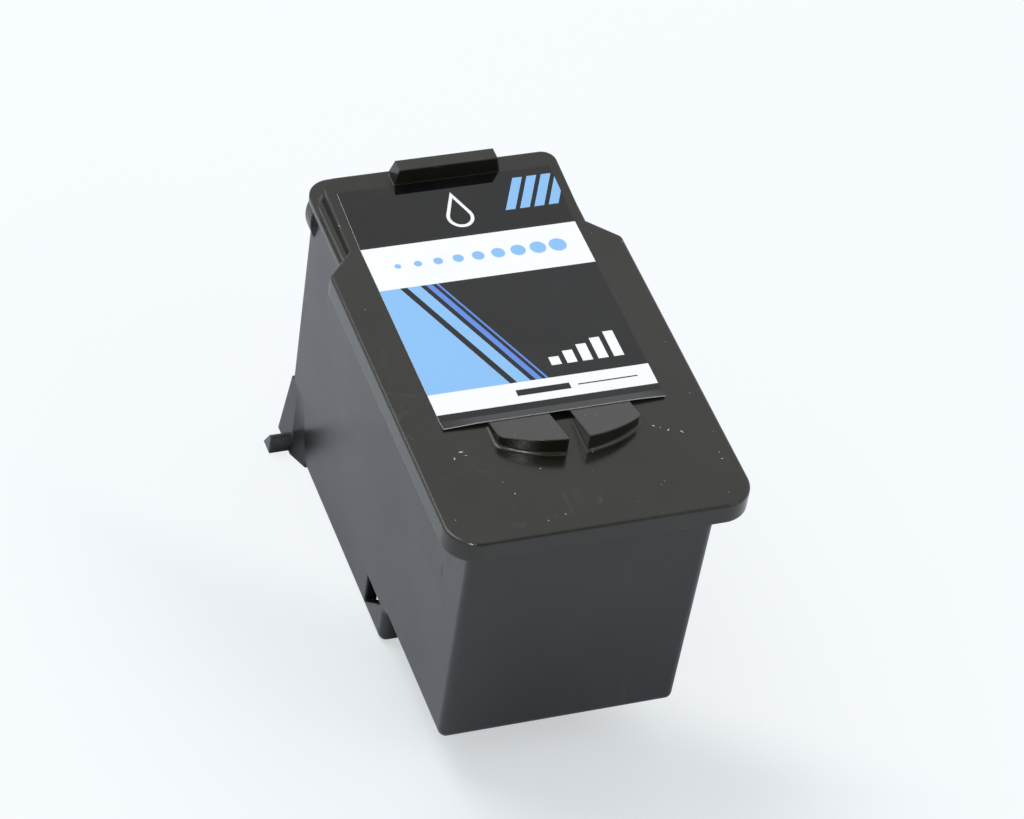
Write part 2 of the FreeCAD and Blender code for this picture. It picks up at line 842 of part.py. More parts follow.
# Under the lid: a skirt that centres it in the mouth of the case, and ribs that hold the absorber down
skirt = new_sketch(lid, "skirt_plan", "XY_Plane", RIM)
skirt_side = f"({INNER_SIDE} - Sizes.skirt_clearance)"
skirt_front = f"({CASE_FRONT} + Sizes.wall + Sizes.skirt_clearance)"
skirt_rear = f"({INNER_REAR} - Sizes.skirt_clearance)"
add_outline(skirt, centred(skirt_side, skirt_front, skirt_rear))
add_outline(
    skirt,
    centred(
        f"({skirt_side} - Sizes.skirt_thickness)",
        f"{skirt_front} + Sizes.skirt_thickness",
        f"{skirt_rear} - Sizes.skirt_thickness",
    ),
)
pad(lid, "skirt", skirt, "Sizes.skirt_depth", reverse=True)
press_left = "(-(Sizes.press_rib_count - 1) * Sizes.press_rib_spacing / 2 - Sizes.press_rib_thickness / 2)"
press_plan = outline(
    lid,
    "press_rib_plan",
    "XY_Plane",
    rectangle(
        press_left,
        f"{press_left} + Sizes.press_rib_thickness",
        f"{skirt_front} + Sizes.press_rib_end_gap",
        f"{skirt_rear} - Sizes.press_rib_end_gap",
    ),
    RIM,
)
press_rib = pad(lid, "press_rib", press_plan, "Sizes.press_rib_depth", reverse=True)
pattern(
    lid,
    "press_ribs",
    press_rib,
    "(Sizes.press_rib_count - 1) * Sizes.press_rib_spacing",
    "Sizes.press_rib_count",
)

# Label: one thin sheet, stuck to the lid. It lies on the tops of the finger rest at its front edge,
# flat on the plate, and then bends up with the deck.

label = new_body("top_label")
LABEL_SIDE = "(Sizes.label_width / 2)"
lifted_edge = "(Sizes.rest_half_width + Sizes.centre_shift + Sizes.label_side_slack)"


def label_section(name, place, middle, edge_height, middle_height):
    """One cross-section of the sheet, as a thin band with four corners below and four above."""
    top = "Sizes.label_thickness"
    corners = [
        (f"-{LABEL_SIDE}", edge_height),
        (f"-{middle}", middle_height),
        (middle, middle_height),
        (LABEL_SIDE, edge_height),
        (LABEL_SIDE, f"{edge_height} + {top}"),
        (middle, f"{middle_height} + {top}"),
        (f"-{middle}", f"{middle_height} + {top}"),
        (f"-{LABEL_SIDE}", f"{edge_height} + {top}"),
    ]
    return outline(label, name, "XZ_Plane", corners, f"-({place})")


label_lift = f"(Sizes.body_height + ({REST_BACK} - {LABEL_FRONT}) * {REST_LEAN})"
LABEL_REAR = f"({LID_REAR} - Sizes.label_rear_gap)"
label_rise = f"(Sizes.body_height + ({LABEL_REAR} - {DECK_START}) * {DECK_LEAN})"
plate_top = "Sizes.body_height"
front_section = label_section("front_edge", LABEL_FRONT, lifted_edge, plate_top, label_lift)
flat_section = label_section("behind_rest", REST_BACK, lifted_edge, plate_top, plate_top)
bend_section = label_section("at_bend", DECK_START, lifted_edge, plate_top, plate_top)
rear_section = label_section("rear_edge", LABEL_REAR, lifted_edge, label_rise, label_rise)
loft(label, "sheet", "Additive", front_section, [flat_section, bend_section, rear_section])

# Absorber: a block of compressed fibre that holds the ink, resting on the floor ribs and the filter

absorber = new_body("ink_absorber")
absorber_plan = outline(
    absorber,
    "absorber_plan",
    "XY_Plane",
    centred(
        f"({INNER_FOOT} - Sizes.absorber_clearance)",
        f"{INNER_FOOT_FRONT} + Sizes.absorber_clearance",
        f"{INNER_REAR} - Sizes.absorber_clearance",
    ),
    ABSORBER_FOOT,
)
pad(absorber, "fibre", absorber_plan, f"{RIM} - Sizes.press_rib_depth - {ABSORBER_FOOT}")
round_edges(absorber, "fibre_corners", "Sizes.absorber_corner_radius", is_upright)

# Filter: a piece of fine steel mesh, welded to the rim of the ink port

screen = new_body("filter_screen")
screen_plan = outline(
    screen,
    "screen_plan",
    "XY_Plane",
    centred(
        f"({port_half} + Sizes.port_rim - Sizes.filter_margin)",
        f"{PORT_FRONT} + Sizes.filter_margin",
        f"{HEAD_CENTRE} + Sizes.port_length / 2 + Sizes.port_rim - Sizes.filter_margin",
    ),
    f"{FLOOR} + Sizes.port_rise",
)
pad(screen, "mesh", screen_plan, "Sizes.filter_thickness")

# Print chip: a silicon die with an ink slot along its middle, bonded into the seat under the nose

chip = new_body("print_chip")
chip_plan = centred(
    "(Sizes.chip_width / 2)",
    f"{HEAD_CENTRE} - Sizes.chip_length / 2",
    f"{HEAD_CENTRE} + Sizes.chip_length / 2",
)
die_plan = outline(chip, "die_plan", "XY_Plane", chip_plan, CHIP_FACE)
pad(chip, "die", die_plan, "Sizes.chip_thickness")
feed_plan = outline(chip, "feed_plan", "XY_Plane", slot_plan, CHIP_FACE)
pocket(chip, "feed_slot", feed_plan, "Sizes.chip_thickness", reverse=True)

# Nozzle plate: a thin layer over the die, short of its ends where the leads are bonded

plate = new_body("nozzle_plate")
nozzle_plan = outline(
    plate,
    "nozzle_plan",
    "XY_Plane",
    centred(
        "(Sizes.chip_width / 2)",
        f"{HEAD_CENTRE} - Sizes.chip_length / 2 + Sizes.plate_end_gap",
        f"{HEAD_CENTRE} + Sizes.chip_length / 2 - Sizes.plate_end_gap",
    ),
    f"{CHIP_FACE} - Sizes.plate_thickness",
)
pad(plate, "layer", nozzle_plan, "Sizes.plate_thickness")

# Wiring tape: a polyimide strip that lies round the chip, folds over the rear foot of the nose and
# runs up the rear wall to the contact field

tape = new_body("wiring_tape")
case_rear = size("lid_length") / 2 - size("rear_inset")
tape_profile = outline(
    tape,
    "tape_profile",
    "YZ_Plane",
    [
        (TAPE_FRONT, "Sizes.tape_recess"),
        (CASE_REAR, "Sizes.tape_recess"),
        (CASE_REAR, "Sizes.tape_height"),
        (f"{CASE_REAR} + Sizes.tape_thickness", "Sizes.tape_height"),
        (f"{CASE_REAR} + Sizes.tape_thickness", CHIP_FACE),
        (TAPE_FRONT, CHIP_FACE),
    ],
)
pad(tape, "strip", tape_profile, "Sizes.tape_width", symmetric=True)
device_hole = outline(tape, "device_hole_plan", "XY_Plane", seat_plan)
pocket(tape, "device_hole", device_hole, f"Sizes.tape_recess + {PAST}", reverse=True)
round_edges(
    tape,
    "inner_fold",
    "Sizes.fold_radius",
    lambda edge: near(edge.BoundBox.YMin, case_rear)
    and near(edge.BoundBox.ZMax, size("tape_recess")),
)
round_edges(
    tape,
    "outer_fold",
    "Sizes.fold_radius + Sizes.tape_thickness",
    lambda edge: is_straight(edge)
    and near(edge.BoundBox.YMin, case_rear + size("tape_thickness"))
    and near(edge.BoundBox.ZMax, size("tape_recess") - size("tape_thickness")),
)
round_edges(
    tape,
    "top_corners",
    "Sizes.tape_corner_radius",
    lambda edge: near(edge.BoundBox.ZMin, size("tape_height")) and near(edge.BoundBox.XLength, 0),
)

# Contact pads: gilded squares on the tape, pressed by the carriage's springs

pads = new_body("contact_pads")
pad_left = "(-(Sizes.pad_columns - 1) * Sizes.pad_pitch / 2 - Sizes.pad_width / 2)"
pad_plan = outline(
    pads,
    "pad_plan",
    "XZ_Plane",
    rectangle(
        pad_left,
        f"{pad_left} + Sizes.pad_width",
        "Sizes.pad_foot - Sizes.pad_height / 2",
        "Sizes.pad_foot + Sizes.pad_height / 2",
    ),
    f"-({CASE_REAR} + Sizes.tape_thickness)",
)
first_pad = pad(pads, "first_pad", pad_plan, "Sizes.pad_thickness", reverse=True)
pad_field = pattern(
    pads,
    "pad_field",
    first_pad,
    "(Sizes.pad_columns - 1) * Sizes.pad_pitch",
    "Sizes.pad_columns",
)
pad_field.Direction2 = (pad_plan, ["V_Axis"])
pad_field.setExpression("Length2", "(Sizes.pad_rows - 1) * Sizes.pad_pitch")
pad_field.setExpression("Occurrences2", "Sizes.pad_rows")

# Edge sealant: a ring of resin that fills the gap round the chip

ring = new_body("edge_sealant")
ring_plan = new_sketch(ring, "ring_plan", "XY_Plane", "Sizes.tape_recess")
add_outline(ring_plan, seat_plan)
add_outline(ring_plan, chip_plan)
pad(ring, "ring", ring_plan, f"{CHIP_SEAT} - Sizes.tape_recess")

# Lead sealant: a bead of resin over the leads at each end of the chip

beads = new_body("lead_sealant")
bead_plan = new_sketch(beads, "bead_plan", "XY_Plane", CHIP_FACE)
for chip_end in (f"{HEAD_CENTRE} - Sizes.chip_length / 2", f"{HEAD_CENTRE} + Sizes.chip_length / 2"):
    add_outline(
        bead_plan,
        centred(
            "(Sizes.bead_width / 2)",
            f"{chip_end} - Sizes.bead_length / 2",
            f"{chip_end} + Sizes.bead_length / 2",
        ),
    )
pad(beads, "bead", bead_plan, "Sizes.bead_height", reverse=True)

doc.recompute()

faults = [item.Name for item in doc.Objects if {"Invalid", "Error"} & set(item.State)]
bodies = [item for item in doc.Objects if item.isDerivedFrom("PartDesign::Body")]
faults += [body.Label for body in bodies if body.Shape.isNull() or not body.Shape.isValid()]
if faults:
    raise RuntimeError("these did not build: " + ", ".join(faults))

os.makedirs("parts", exist_ok=True)
for body in bodies:
    body.Shape.exportStep("parts/%s.step" % body.Label)
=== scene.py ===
import math
import random

import bmesh
import bpy
from mathutils import Matrix, Vector


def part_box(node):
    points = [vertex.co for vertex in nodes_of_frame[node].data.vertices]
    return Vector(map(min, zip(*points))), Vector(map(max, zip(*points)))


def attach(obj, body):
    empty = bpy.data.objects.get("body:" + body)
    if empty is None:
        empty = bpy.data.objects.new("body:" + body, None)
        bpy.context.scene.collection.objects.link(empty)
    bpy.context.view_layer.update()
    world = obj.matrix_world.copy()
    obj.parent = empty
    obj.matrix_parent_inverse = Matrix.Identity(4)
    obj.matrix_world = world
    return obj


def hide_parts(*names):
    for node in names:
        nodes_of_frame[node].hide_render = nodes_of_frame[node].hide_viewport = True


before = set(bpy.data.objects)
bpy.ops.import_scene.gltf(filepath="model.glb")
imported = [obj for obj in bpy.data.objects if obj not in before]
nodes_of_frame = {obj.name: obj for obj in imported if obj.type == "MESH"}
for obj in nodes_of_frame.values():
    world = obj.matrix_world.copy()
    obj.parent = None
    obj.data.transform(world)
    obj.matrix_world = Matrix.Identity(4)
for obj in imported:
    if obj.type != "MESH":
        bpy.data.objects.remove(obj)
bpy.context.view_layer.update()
mm = 0.001


# The case. The tank and its nose are one moulding in black polystyrene blend. The tool's fine spark
# finish dulls it a little, and handling has left faint rubs and streaks on its walls.


def shade(red, green, blue):
    """A colour as it is read off a screen, turned into the shader's own scale."""
    channels = [channel / 255 for channel in (red, green, blue)]
    linear = [((c + 0.055) / 1.055) ** 2.4 if c > 10 / 255 else c / 12.92 for c in channels]
    return (*linear, 1)


def add_node(tree, kind, inputs=None, **settings):
    """One node, with its sockets tied to other sockets or set to plain values."""
    node = tree.nodes.new(kind)
    for setting, value in settings.items():
        setattr(node, setting, value)
    for socket, value in (inputs or {}).items():
        if isinstance(value, bpy.types.NodeSocket):
            tree.links.new(value, node.inputs[socket])
        else:
            node.inputs[socket].default_value = value
    return node


def blank_finish(name, **settings):
    """A new material whose shader sockets are set by name, with underscores for spaces."""
    finish = bpy.data.materials.new(name)
    finish.use_nodes = True
    shader = finish.node_tree.nodes["Principled BSDF"]
    for socket, value in settings.items():
        shader.inputs[socket.replace("_", " ")].default_value = value
    return finish, finish.node_tree, shader


def place(tree, stretch=(1, 1, 1), turn=(0, 0, 0)):
    """Where a point lies on its piece, stretched so that a pattern runs long in one direction."""
    coordinates = add_node(tree, "ShaderNodeTexCoord")
    return add_node(
        tree,
        "ShaderNodeMapping",
        {"Vector": coordinates.outputs["Object"], "Scale": stretch, "Rotation": turn},
    ).outputs[0]


def ramp(tree, value, low, high, start=0.0, end=1.0, curve="SMOOTHSTEP"):
    """From start, where a value is low, to end, where it is high."""
    return add_node(
        tree,
        "ShaderNodeMapRange",
        {"Value": value, "From Min": low, "From Max": high, "To Min": start, "To Max": end},
        interpolation_type=curve,
    ).outputs[0]


def mottle(tree, where, scale, detail=3.0, low=0.0, high=1.0, distortion=0.0):
    """Cloudy noise, of which only the part from low to high counts."""
    noise = add_node(
        tree,
        "ShaderNodeTexNoise",
        {"Vector": where, "Scale": scale, "Detail": detail, "Distortion": distortion},
    )
    return ramp(tree, noise.outputs[0], low, high)


def sums(tree, operation, first, second=0.0, third=0.0):
    """What one Math node makes of its values."""
    return add_node(tree, "ShaderNodeMath", {0: first, 1: second, 2: third}, operation=operation).outputs[0]


def dot_product(tree, first, second):
    """How far two directions agree, or how far a place lies in a direction."""
    return add_node(
        tree, "ShaderNodeVectorMath", {0: first, 1: second}, operation="DOT_PRODUCT"
    ).outputs["Value"]


def blend_colours(tree, share, first, second):
    """The first colour where share is 0 and the second where it is 1."""
    mix = add_node(tree, "ShaderNodeMix", data_type="RGBA")
    colours = [socket for socket in mix.inputs if socket.type == "RGBA"]
    for socket, value in ((mix.inputs["Factor"], share), (colours[0], first), (colours[1], second)):
        if isinstance(value, bpy.types.NodeSocket):
            tree.links.new(value, socket)
        else:
            socket.default_value = value
    return next(socket for socket in mix.outputs if socket.type == "RGBA")


def soft_normal(tree, reach):
    """The surface's normal, as if its edges and creases had been rounded so far."""
    return add_node(tree, "ShaderNodeBevel", {"Radius": reach}, samples=4).outputs[0]


def worn_edges(tree, reach):
    """How far a point is on an outer edge that handling has rubbed, from 0 to 1."""
    true_normal = add_node(tree, "ShaderNodeNewGeometry").outputs["Normal"]
    facing = dot_product(tree, soft_normal(tree, reach), true_normal)
    return ramp(tree, facing, 0.999, 0.9, curve="LINEAR")


def moulded_plastic(name, body, rubbed, roughness, grain_depth, streak_turn, softness):
    """Black plastic with the tool's grain, slow sink marks, and streaks and scratches of handling."""
    finish, tree, shader = blank_finish(name, IOR=1.5)
    where = place(tree)
    grain = mottle(tree, where, 5200, 2.0, 0.2, 0.8)
    sink = mottle(tree, where, 130, 2.0)
    cloud = mottle(tree, where, 55, 5.0, 0.3, 0.75)
    streaks = mottle(tree, place(tree, (1, 1, 0.14), streak_turn), 620, 4.0, 0.56, 0.84, 0.9)
    handling = mottle(tree, where, 90, 4.0, 0.48, 0.72, 0.6)
    scratches = mottle(tree, place(tree, (1, 0.05, 1), (0.5, 0.2, 0.9)), 1500, 2.0, 0.73, 0.85, 0.7)
    scuffs = sums(tree, "MULTIPLY", sums(tree, "MAXIMUM", streaks, scratches), handling)
    wear = sums(tree, "MULTIPLY_ADD", grain, 0.2, 0.04)
    worn = sums(tree, "MULTIPLY", worn_edges(tree, 0.25 * mm), wear)
    marks = sums(tree, "MAXIMUM", sums(tree, "MULTIPLY", scuffs, 0.28), worn)
    paler_body = tuple(channel * 1.5 for channel in body[:3]) + (1,)
    ground = blend_colours(tree, cloud, body, paler_body)
    tree.links.new(blend_colours(tree, marks, ground, rubbed), shader.inputs["Base Color"])
    rough = sums(tree, "MULTIPLY_ADD", cloud, 0.06, roughness)
    rough = sums(tree, "MULTIPLY_ADD", scuffs, 0.22, rough)
    tree.links.new(sums(tree, "MULTIPLY_ADD", grain, 0.05, rough), shader.inputs["Roughness"])
    relief = add_node(
        tree,
        "ShaderNodeBump",
        {"Height": grain, "Distance": grain_depth, "Strength": 0.6, "Normal": soft_normal(tree, softness)},
    )
    waves = add_node(
        tree,
        "ShaderNodeBump",
        {"Height": sink, "Distance": 0.05 * mm, "Strength": 0.5, "Normal": relief.outputs[0]},
    )
    tree.links.new(waves.outputs[0], shader.inputs["Normal"])
    return finish


def dress(node, finish):
    """Give a piece that keeps its CAD shape its finish."""
    for slot in nodes_of_frame[node].material_slots:
        slot.material = finish


case_plastic = moulded_plastic(
    "case_plastic",
    body=shade(28, 28, 31),
    rubbed=shade(92, 93, 95),
    roughness=0.27,
    grain_depth=0.006 * mm,
    streak_turn=(0.0, 0.12, 0.0),
    softness=0.6 * mm,
)
dress("tank_case", case_plastic)


# The absorber. A block of bonded polyester fibre, pressed into the tank dry and then soaked with
# black ink. The foot is soaked through, and the top stays greyer.


def colour_piece(tree, shader, share, first, second):
    """Its colour goes from first to second as share goes from 0 to 1."""
    tree.links.new(blend_colours(tree, share, first, second), shader.inputs["Base Color"])


def dull_piece(tree, shader, share, span, least):
    """Its roughness is the least, and the span more where share is 1."""
    tree.links.new(sums(tree, "MULTIPLY_ADD", share, span, least), shader.inputs["Roughness"])


def emboss_piece(tree, shader, height, depth, strength):
    """Fine relief, high where height is 1, of a depth in metres."""
    relief = add_node(tree, "ShaderNodeBump", {"Height": height, "Distance": depth, "Strength": strength})
    tree.links.new(relief.outputs[0], shader.inputs["Normal"])


absorber_fibre, tree, shader = blank_finish("absorber_fibre", Sheen_Weight=0.25, Sheen_Roughness=0.6)
soaked_height, dry_height, soak_spread = 30 * mm, 41 * mm, 5.0 * mm
height = add_node(tree, "ShaderNodeSeparateXYZ", {0: place(tree)}).outputs["Z"]
patches = mottle(tree, place(tree), 160, 5.0, 0.25, 0.75)
soak_line = sums(tree, "MULTIPLY_ADD", patches, soak_spread, height)
dryness = ramp(tree, soak_line, soaked_height, dry_height, curve="LINEAR")
strands = mottle(tree, place(tree, (0.2, 1, 1), (0.2, 0.6, 0.3)), 2600, 4.0, 0.35, 0.65, 1.5)
inked_tone = blend_colours(tree, strands, shade(22, 22, 26), shade(44, 45, 50))
dry_tone = blend_colours(tree, strands, shade(96, 97, 100), shade(150, 150, 150))
colour_piece(tree, shader, dryness, inked_tone, dry_tone)
dull_piece(tree, shader, dryness, 0.45, 0.5)
emboss_piece(tree, shader, strands, 0.12 * mm, 0.9)
dress("ink_absorber", absorber_fibre)


def new_tree(name, sizes):
    """An empty geometry tree with one named input for each size, and its two ends."""
    tree = bpy.data.node_groups.new(name, "GeometryNodeTree")
    tree.is_modifier = True
    tree.interface.new_socket(name="Geometry", in_out="INPUT", socket_type="NodeSocketGeometry")
    for title, start in sizes.items():
        kind = "NodeSocketInt" if isinstance(start, int) else "NodeSocketFloat"
        socket = tree.interface.new_socket(name=title, in_out="INPUT", socket_type=kind)
        socket.default_value = start
    tree.interface.new_socket(name="Geometry", in_out="OUTPUT", socket_type="NodeSocketGeometry")
    return tree, tree.nodes.new("NodeGroupInput").outputs, tree.nodes.new("NodeGroupOutput")


def set_out(name, data):
    """A new object in the scene, at the origin and unturned."""
    thing = bpy.data.objects.new(name, data)
    bpy.context.scene.collection.objects.link(thing)
    return thing


def grow(name, tree, outlet, shape, finish, sizes, guide):
    """Close the tree, run it on the guide mesh, and keep what it makes as a plain mesh."""
    solid = add_node(tree, "GeometryNodeRealizeInstances", {"Geometry": shape})
    coated = add_node(tree, "GeometryNodeSetMaterial", {"Geometry": solid.outputs[0], "Material": finish})
    tree.links.new(coated.outputs[0], outlet.inputs[0])
    carrier = set_out(name + "_guide", guide)
    growth = carrier.modifiers.new("growth", "NODES")
    growth.node_group = tree
    for socket in tree.interface.items_tree:
        if socket.in_out == "INPUT" and socket.name in sizes:
            growth[socket.identifier] = sizes[socket.name]
    depsgraph = bpy.context.evaluated_depsgraph_get()
    grown = bpy.data.meshes.new_from_object(carrier.evaluated_get(depsgraph), depsgraph=depsgraph)
    bpy.data.objects.remove(carrier)
    grown.name = name
    return set_out(name, grown)


def scaled(tree, vector, share):
    """A vector made longer or shorter, or turned round by a share below 0."""
    return add_node(tree, "ShaderNodeVectorMath", {0: vector, "Scale": share}, operation="SCALE").outputs[0]


def random_vector(tree, low, high, seed):
    """A vector for each point, drawn at random between two others."""
    return add_node(
        tree, "FunctionNodeRandomValue", {0: low, 1: high, "Seed": seed}, data_type="FLOAT_VECTOR"
    ).outputs[0]


def belongs(piece, slot, *stands_for):
    """The piece moves with the cartridge and may stand for CAD nodes, which are hidden. The slot is not
    used.
    """
    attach(piece, "root")
    if stands_for:
        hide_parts(*stands_for)


# Loose ends of fibre that stand off the block's faces
fibre_sizes = {"Fibres per square metre": 900000.0, "Length": 1.1 * mm, "Thickness": 0.02 * mm, "Seed": 4}
full_turn = 6.3
tree, sockets, outlet = new_tree("fibre_ends", fibre_sizes)
spread = add_node(
    tree,
    "GeometryNodeDistributePointsOnFaces",
    {"Mesh": sockets["Geometry"], "Density": sockets["Fibres per square metre"], "Seed": sockets["Seed"]},
)
half_length = sums(tree, "MULTIPLY", sockets["Length"], 0.5)
tip = add_node(tree, "ShaderNodeCombineXYZ", {"X": half_length}).outputs[0]
bow = add_node(tree, "ShaderNodeCombineXYZ", {"Z": half_length}).outputs[0]
hair = add_node(
    tree,
    "GeometryNodeCurveQuadraticBezier",
    {"Resolution": 3, "Start": scaled(tree, tip, -1.0), "Middle": bow, "End": tip},
)
hair_section = add_node(
    tree, "GeometryNodeCurvePrimitiveCircle", {"Resolution": 3, "Radius": sockets["Thickness"]}
)
strand = add_node(
    tree, "GeometryNodeCurveToMesh", {"Curve": hair.outputs[0], "Profile Curve": hair_section.outputs[0]}
)
spin = random_vector(tree, (-0.5, -0.5, 0), (0.5, 0.5, full_turn), 9)
turned = add_node(tree, "FunctionNodeEulerToRotation", {0: spin})
laid = add_node(
    tree,
    "FunctionNodeRotateRotation",
    {0: spread.outputs["Rotation"], 1: turned.outputs[0]},
    rotation_space="LOCAL",
)
fibres = add_node(
    tree,
    "GeometryNodeInstanceOnPoints",
    {"Points": spread.outputs["Points"], "Instance": strand.outputs[0], "Rotation": laid.outputs[0]},
)
absorber_mesh = nodes_of_frame["ink_absorber"].data
fibre_ends = grow(
    "fibre_ends", tree, outlet, fibres.outputs[0], absorber_fibre, fibre_sizes, absorber_mesh
)
belongs(fibre_ends, "absorber_fibre")


# The filter. Fine stainless mesh in a plain weave, cut from the roll and staked by heat to the rim of
# the ink port. It keeps air and dirt out of the print head.

steel_mesh, tree, shader = blank_finish("steel_mesh", Metallic=1.0, IOR=2.5)
drawn = mottle(tree, place(tree), 3000, 2.0, 0.3, 0.7)
colour_piece(tree, shader, drawn, shade(150, 148, 144), shade(196, 195, 192))
dull_piece(tree, shader, drawn, 0.15, 0.28)
emboss_piece(tree, shader, drawn, 0.004 * mm, 0.5)

filter_low, filter_high = (Vector(corner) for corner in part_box("filter_screen"))
filter_middle = (filter_low + filter_high) / 2
filter_size = filter_high - filter_low
trimmed = 0.1 * mm
weave_sizes = {
    "Width": filter_size.x - trimmed,
    "Length": filter_size.y - trimmed,
    "Pitch": 0.4 * mm,
    "Wave": 0.07 * mm,
    "Wire radius": 0.065 * mm,
}
tree, sockets, outlet = new_tree("mesh_weave", weave_sizes)


def woven_wires(long_side, short_side, along, across, rise):
    """One set of wires, each a wave that passes over and under the wires of the other set."""
    count = sums(tree, "DIVIDE", sockets[short_side], sockets["Pitch"])
    steps = sums(tree, "MULTIPLY", sums(tree, "DIVIDE", sockets[long_side], sockets["Pitch"]), 2.0)
    half = sums(tree, "MULTIPLY", sockets[long_side], 0.5)
    end = add_node(tree, "ShaderNodeCombineXYZ", {along: half}).outputs[0]
    wire = add_node(tree, "GeometryNodeCurvePrimitiveLine", {"Start": scaled(tree, end, -1.0), "End": end})
    cut = add_node(tree, "GeometryNodeResampleCurve", {"Curve": wire.outputs[0], "Count": steps})
    step = add_node(tree, "ShaderNodeCombineXYZ", {across: sockets["Pitch"]}).outputs[0]
    half_row = sums(tree, "FLOOR", sums(tree, "MULTIPLY", count, 0.5))
    first = scaled(tree, step, sums(tree, "MULTIPLY", half_row, -1.0))
    row = add_node(
        tree,
        "GeometryNodeMeshLine",
        {"Count": sums(tree, "MULTIPLY_ADD", half_row, 2.0, 1.0), "Start Location": first, "Offset": step},
        mode="OFFSET",
    )
    wires = add_node(
        tree, "GeometryNodeInstanceOnPoints", {"Points": row.outputs[0], "Instance": cut.outputs[0]}
    )
    loose = add_node(tree, "GeometryNodeRealizeInstances", {"Geometry": wires.outputs[0]})
    position = add_node(tree, "GeometryNodeInputPosition").outputs[0]
    spot = add_node(tree, "ShaderNodeSeparateXYZ", {0: position})
    turns = sums(tree, "DIVIDE", math.pi, sockets["Pitch"])
    waves = [
        sums(tree, "COSINE", sums(tree, "MULTIPLY", spot.outputs[axis], turns)) for axis in ("X", "Y")
    ]
    lift = sums(tree, "MULTIPLY", sums(tree, "MULTIPLY", *waves), sockets["Wave"])
    raised = add_node(tree, "ShaderNodeCombineXYZ", {"Z": sums(tree, "MULTIPLY", lift, rise)})
    bent = add_node(
        tree, "GeometryNodeSetPosition", {"Geometry": loose.outputs[0], "Offset": raised.outputs[0]}
    )
    section = add_node(
        tree, "GeometryNodeCurvePrimitiveCircle", {"Resolution": 5, "Radius": sockets["Wire radius"]}
    )
    return add_node(
        tree,
        "GeometryNodeCurveToMesh",
        {"Curve": bent.outputs[0], "Profile Curve": section.outputs[0], "Fill Caps": True},
    ).outputs[0]


woven = add_node(tree, "GeometryNodeJoinGeometry")
tree.links.new(woven_wires("Width", "Length", "X", "Y", 1.0), woven.inputs[0])
tree.links.new(woven_wires("Length", "Width", "Y", "X", -1.0), woven.inputs[0])
seated = add_node(
    tree, "GeometryNodeTransform", {"Geometry": woven.outputs[0], "Translation": filter_middle}
)
no_guide = bpy.data.meshes.new("nothing")
mesh_weave = grow("mesh_weave", tree, outlet, seated.outputs[0], steel_mesh, weave_sizes, no_guide)
belongs(mesh_weave, "steel_mesh", "filter_screen")


# The lid. Moulded in the same black blend as the case, but in a tool with a smoother finish, and welded
# to the rim by rubbing. It carries the latch block, the finger rest and the vent.

lid_plastic = moulded_plastic(
    "lid_plastic",
    body=shade(24, 24, 17),
    rubbed=shade(96, 95, 90),
    roughness=0.15,
    grain_depth=0.0025 * mm,
    streak_turn=(0.3, math.pi / 2, 0.2),
    softness=0.3 * mm,
)
dress("lid", lid_plastic)


# The label. Printed film with a white core, stuck to the lid when the tank has been filled. Its front
# edge rides up on the finger rest, and its rear follows the slope of the deck.

lid_top = 43.0 * mm
label_low, label_high = (Vector(corner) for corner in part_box("top_label"))
film_thickness = 0.15 * mm
rest_middle = 0.45 * mm
rest_back = -13.2 * mm
rest_slope = math.tan(math.radians(16.7))
rest_arch_start, rest_arch_end = 9.6 * mm, 15.0 * mm
rest_arch_drop = 0.55
deck_start = 18.0 * mm
deck_slope = math.tan(math.radians(4.6))


def smooth(low, high, value):
    """0 at low and below, 1 at high and above, with no kink between."""
    share = min(max((value - low) / (high - low), 0), 1)
    return share * share * (3 - 2 * share)


def film_height(x, y):
    """The underside of the film, which lies on the lid and bends softly with it."""
    on_rest = 1 - rest_arch_drop * smooth(rest_arch_start, rest_arch_end, abs(x - rest_middle))
    lift = max(rest_back - y, 0) * rest_slope * on_rest
    return lid_top + lift + max(y - deck_start, 0) * deck_slope


def label_sheet(name, across=56, along=84):
    """The film as a closed sheet, with its print on top and its core below and round the edge."""
    film = bmesh.new()
    columns = [label_low.x + (label_high.x - label_low.x) * step / across for step in range(across + 1)]
    rows = [label_low.y + (label_high.y - label_low.y) * step / along for step in range(along + 1)]
    rows = sorted(rows + [rest_back, deck_start])
    last = len(rows) - 1
    layers = []
    for lift in (0.0, film_thickness):
        layers.append([[film.verts.new((x, y, film_height(x, y) + lift)) for x in columns] for y in rows])
    under, over = layers
    for j in range(last):
        for i in range(across):
            film.faces.new((over[j][i], over[j][i + 1], over[j + 1][i + 1], over[j + 1][i]))
            face = film.faces.new((under[j][i], under[j + 1][i], under[j + 1][i + 1], under[j][i + 1]))
            face.material_index = 1
    rim = [(0, i) for i in range(across)] + [(j, across) for j in range(last)]
    rim += [(last, i) for i in range(across, 0, -1)] + [(j, 0) for j in range(last, 0, -1)]
    for (j, i), (next_j, next_i) in zip(rim, rim[1:] + rim[:1]):
        face = film.faces.new((under[j][i], under[next_j][next_i], over[next_j][next_i], over[j][i]))
        face.material_index = 1
    mesh = bpy.data.meshes.new(name)
    film.to_mesh(mesh)
    film.free()
    return set_out(name, mesh)


film_black = shade(5, 5, 8)
film_white = shade(249, 251, 254)
film_blue = shade(139, 194, 247)
film_deep_blue = shade(92, 140, 226)

label_film, tree, shader = blank_finish("label_film", IOR=1.46)
in_millimetres = place(tree, (1 / mm, 1 / mm, 1 / mm))
spot = add_node(tree, "ShaderNodeSeparateXYZ", {0: in_millimetres})
across_label, along_label = spot.outputs["X"], spot.outputs["Y"]


def within(value, low, high):
    """1 where a value lies from low to high, in millimetres, with an edge as sharp as print."""
    middle, half = (low + high) / 2, (high - low) / 2
    away = sums(tree, "ABSOLUTE", sums(tree, "SUBTRACT", value, middle))
    return sums(tree, "LESS_THAN", away, half)


